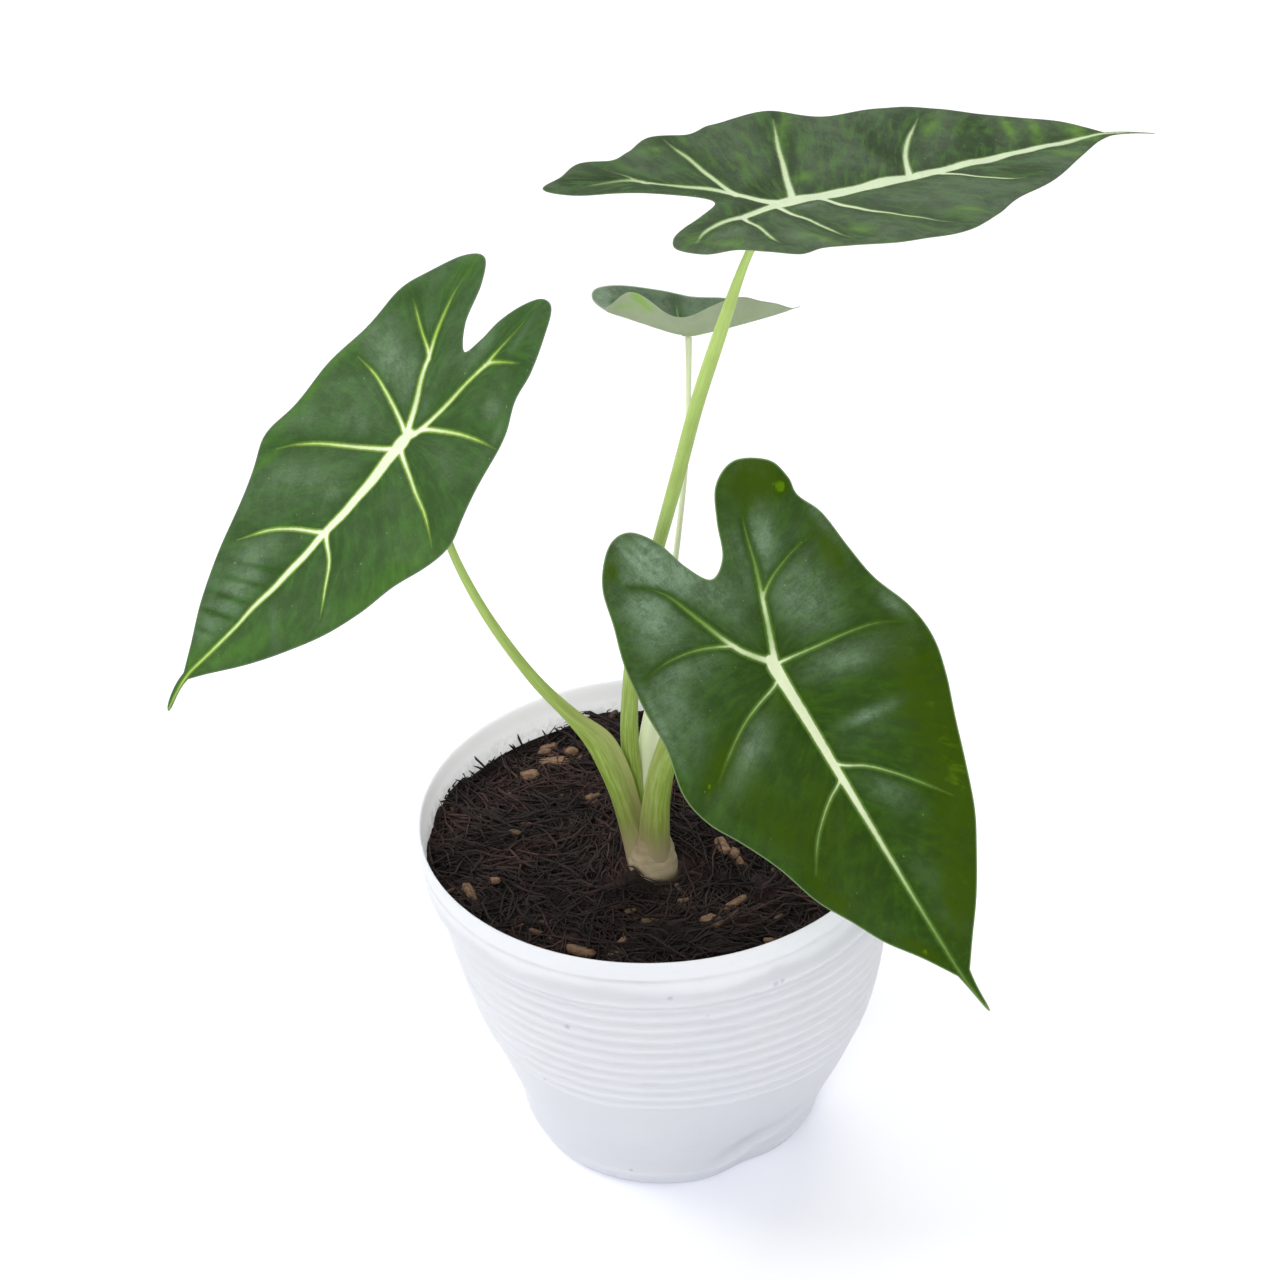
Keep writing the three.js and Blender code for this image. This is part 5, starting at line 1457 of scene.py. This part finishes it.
def add_light(scene, name, power):
    """A soft square light that faces the plant and doesn't show itself."""
    size, distance, azimuth, height = LIGHTS[name]
    light = bpy.data.lights.new(name + "_light", "AREA")
    light.energy = power
    light.size = size
    lamp = bpy.data.objects.new(name + "_light", light)
    way, rise = math.radians(azimuth), math.radians(height)
    towards = Vector((math.cos(rise) * math.cos(way), math.cos(rise) * math.sin(way), math.sin(rise)))
    lamp.location = towards * distance + Vector(LIGHT_AIM)
    lamp.rotation_euler = towards.to_track_quat("Z", "Y").to_euler()
    lamp.visible_camera = False
    scene.collection.objects.link(lamp)


def add_camera(scene):
    lens = bpy.data.cameras.new("camera")
    lens.lens = CAMERA_LENS
    lens.clip_start = 0.05
    camera = bpy.data.objects.new("camera", lens)
    turn = Matrix.Rotation(math.radians(90 - CAMERA_DOWN), 4, "X")
    turn = turn @ Matrix.Rotation(math.radians(CAMERA_ROLL), 4, "Z")
    camera.matrix_world = Matrix.Translation(Vector(CAMERA_PLACE) * MM) @ turn
    scene.collection.objects.link(camera)
    scene.camera = camera


class ALOCASIA_OT_stage(bpy.types.Operator):
    """Build the floor, the soft studio light and the camera"""
    bl_idname = "alocasia.stage"
    bl_label = "Stage"

    def execute(self, context):
        settings = context.scene.alocasia_stage
        deselect()
        bpy.ops.mesh.primitive_plane_add(size=FLOOR_SIZE, location=(0, 0, 0))
        floor = context.object
        floor.name = "studio_floor"
        floor.data.materials.append(floor_material(settings))
        world = bpy.data.worlds.new("studio")
        world.use_nodes = True
        sky = world.node_tree.nodes["Background"].inputs
        sky["Color"].default_value = (1, 1, 1, 1)
        sky["Strength"].default_value = settings.sky
        context.scene.world = world
        for name in LIGHTS:
            add_light(context.scene, name, getattr(settings, name))
        add_camera(context.scene)
        context.scene.view_settings.view_transform = "Standard"
        return {"FINISHED"}


# ------------------------------------------------------------------ add-on


class ALOCASIA_PT_panel(bpy.types.Panel):
    """Lists the pieces of the potted plant and what can be changed on them"""
    bl_idname = "ALOCASIA_PT_panel"
    bl_label = "Potted Alocasia"
    bl_space_type = "VIEW_3D"
    bl_region_type = "UI"
    bl_category = "Alocasia"

    def draw(self, context):
        for operator, name, group in STEPS:
            box = self.layout.box()
            box.operator(operator.bl_idname)
            if group:
                for key in group.__annotations__:
                    box.prop(getattr(context.scene, name), key)


# The steps in their order, each with its settings. The neck shares those of the stalks.
STEPS = (
    (ALOCASIA_OT_pot, "alocasia_pot", PotSettings),
    (ALOCASIA_OT_soil, "alocasia_soil", SoilSettings),
    (ALOCASIA_OT_neck, None, None),
    (ALOCASIA_OT_stalks, "alocasia_stalk", StalkSettings),
    (ALOCASIA_OT_blades, "alocasia_blade", BladeSettings),
    (ALOCASIA_OT_stage, "alocasia_stage", StageSettings),
)


def register():
    for operator, name, group in STEPS:
        bpy.utils.register_class(operator)
        if group:
            bpy.utils.register_class(group)
            setattr(bpy.types.Scene, name, bpy.props.PointerProperty(type=group))
    bpy.utils.register_class(ALOCASIA_PT_panel)


def unregister():
    bpy.utils.unregister_class(ALOCASIA_PT_panel)
    for operator, name, group in reversed(STEPS):
        if group:
            delattr(bpy.types.Scene, name)
            bpy.utils.unregister_class(group)
        bpy.utils.unregister_class(operator)


def main():
    register()
    for operator, _, _ in STEPS:
        area, step = operator.bl_idname.split(".")
        getattr(getattr(bpy.ops, area), step)()
    bpy.context.view_layer.update()


if __name__ == "__main__":
    main()
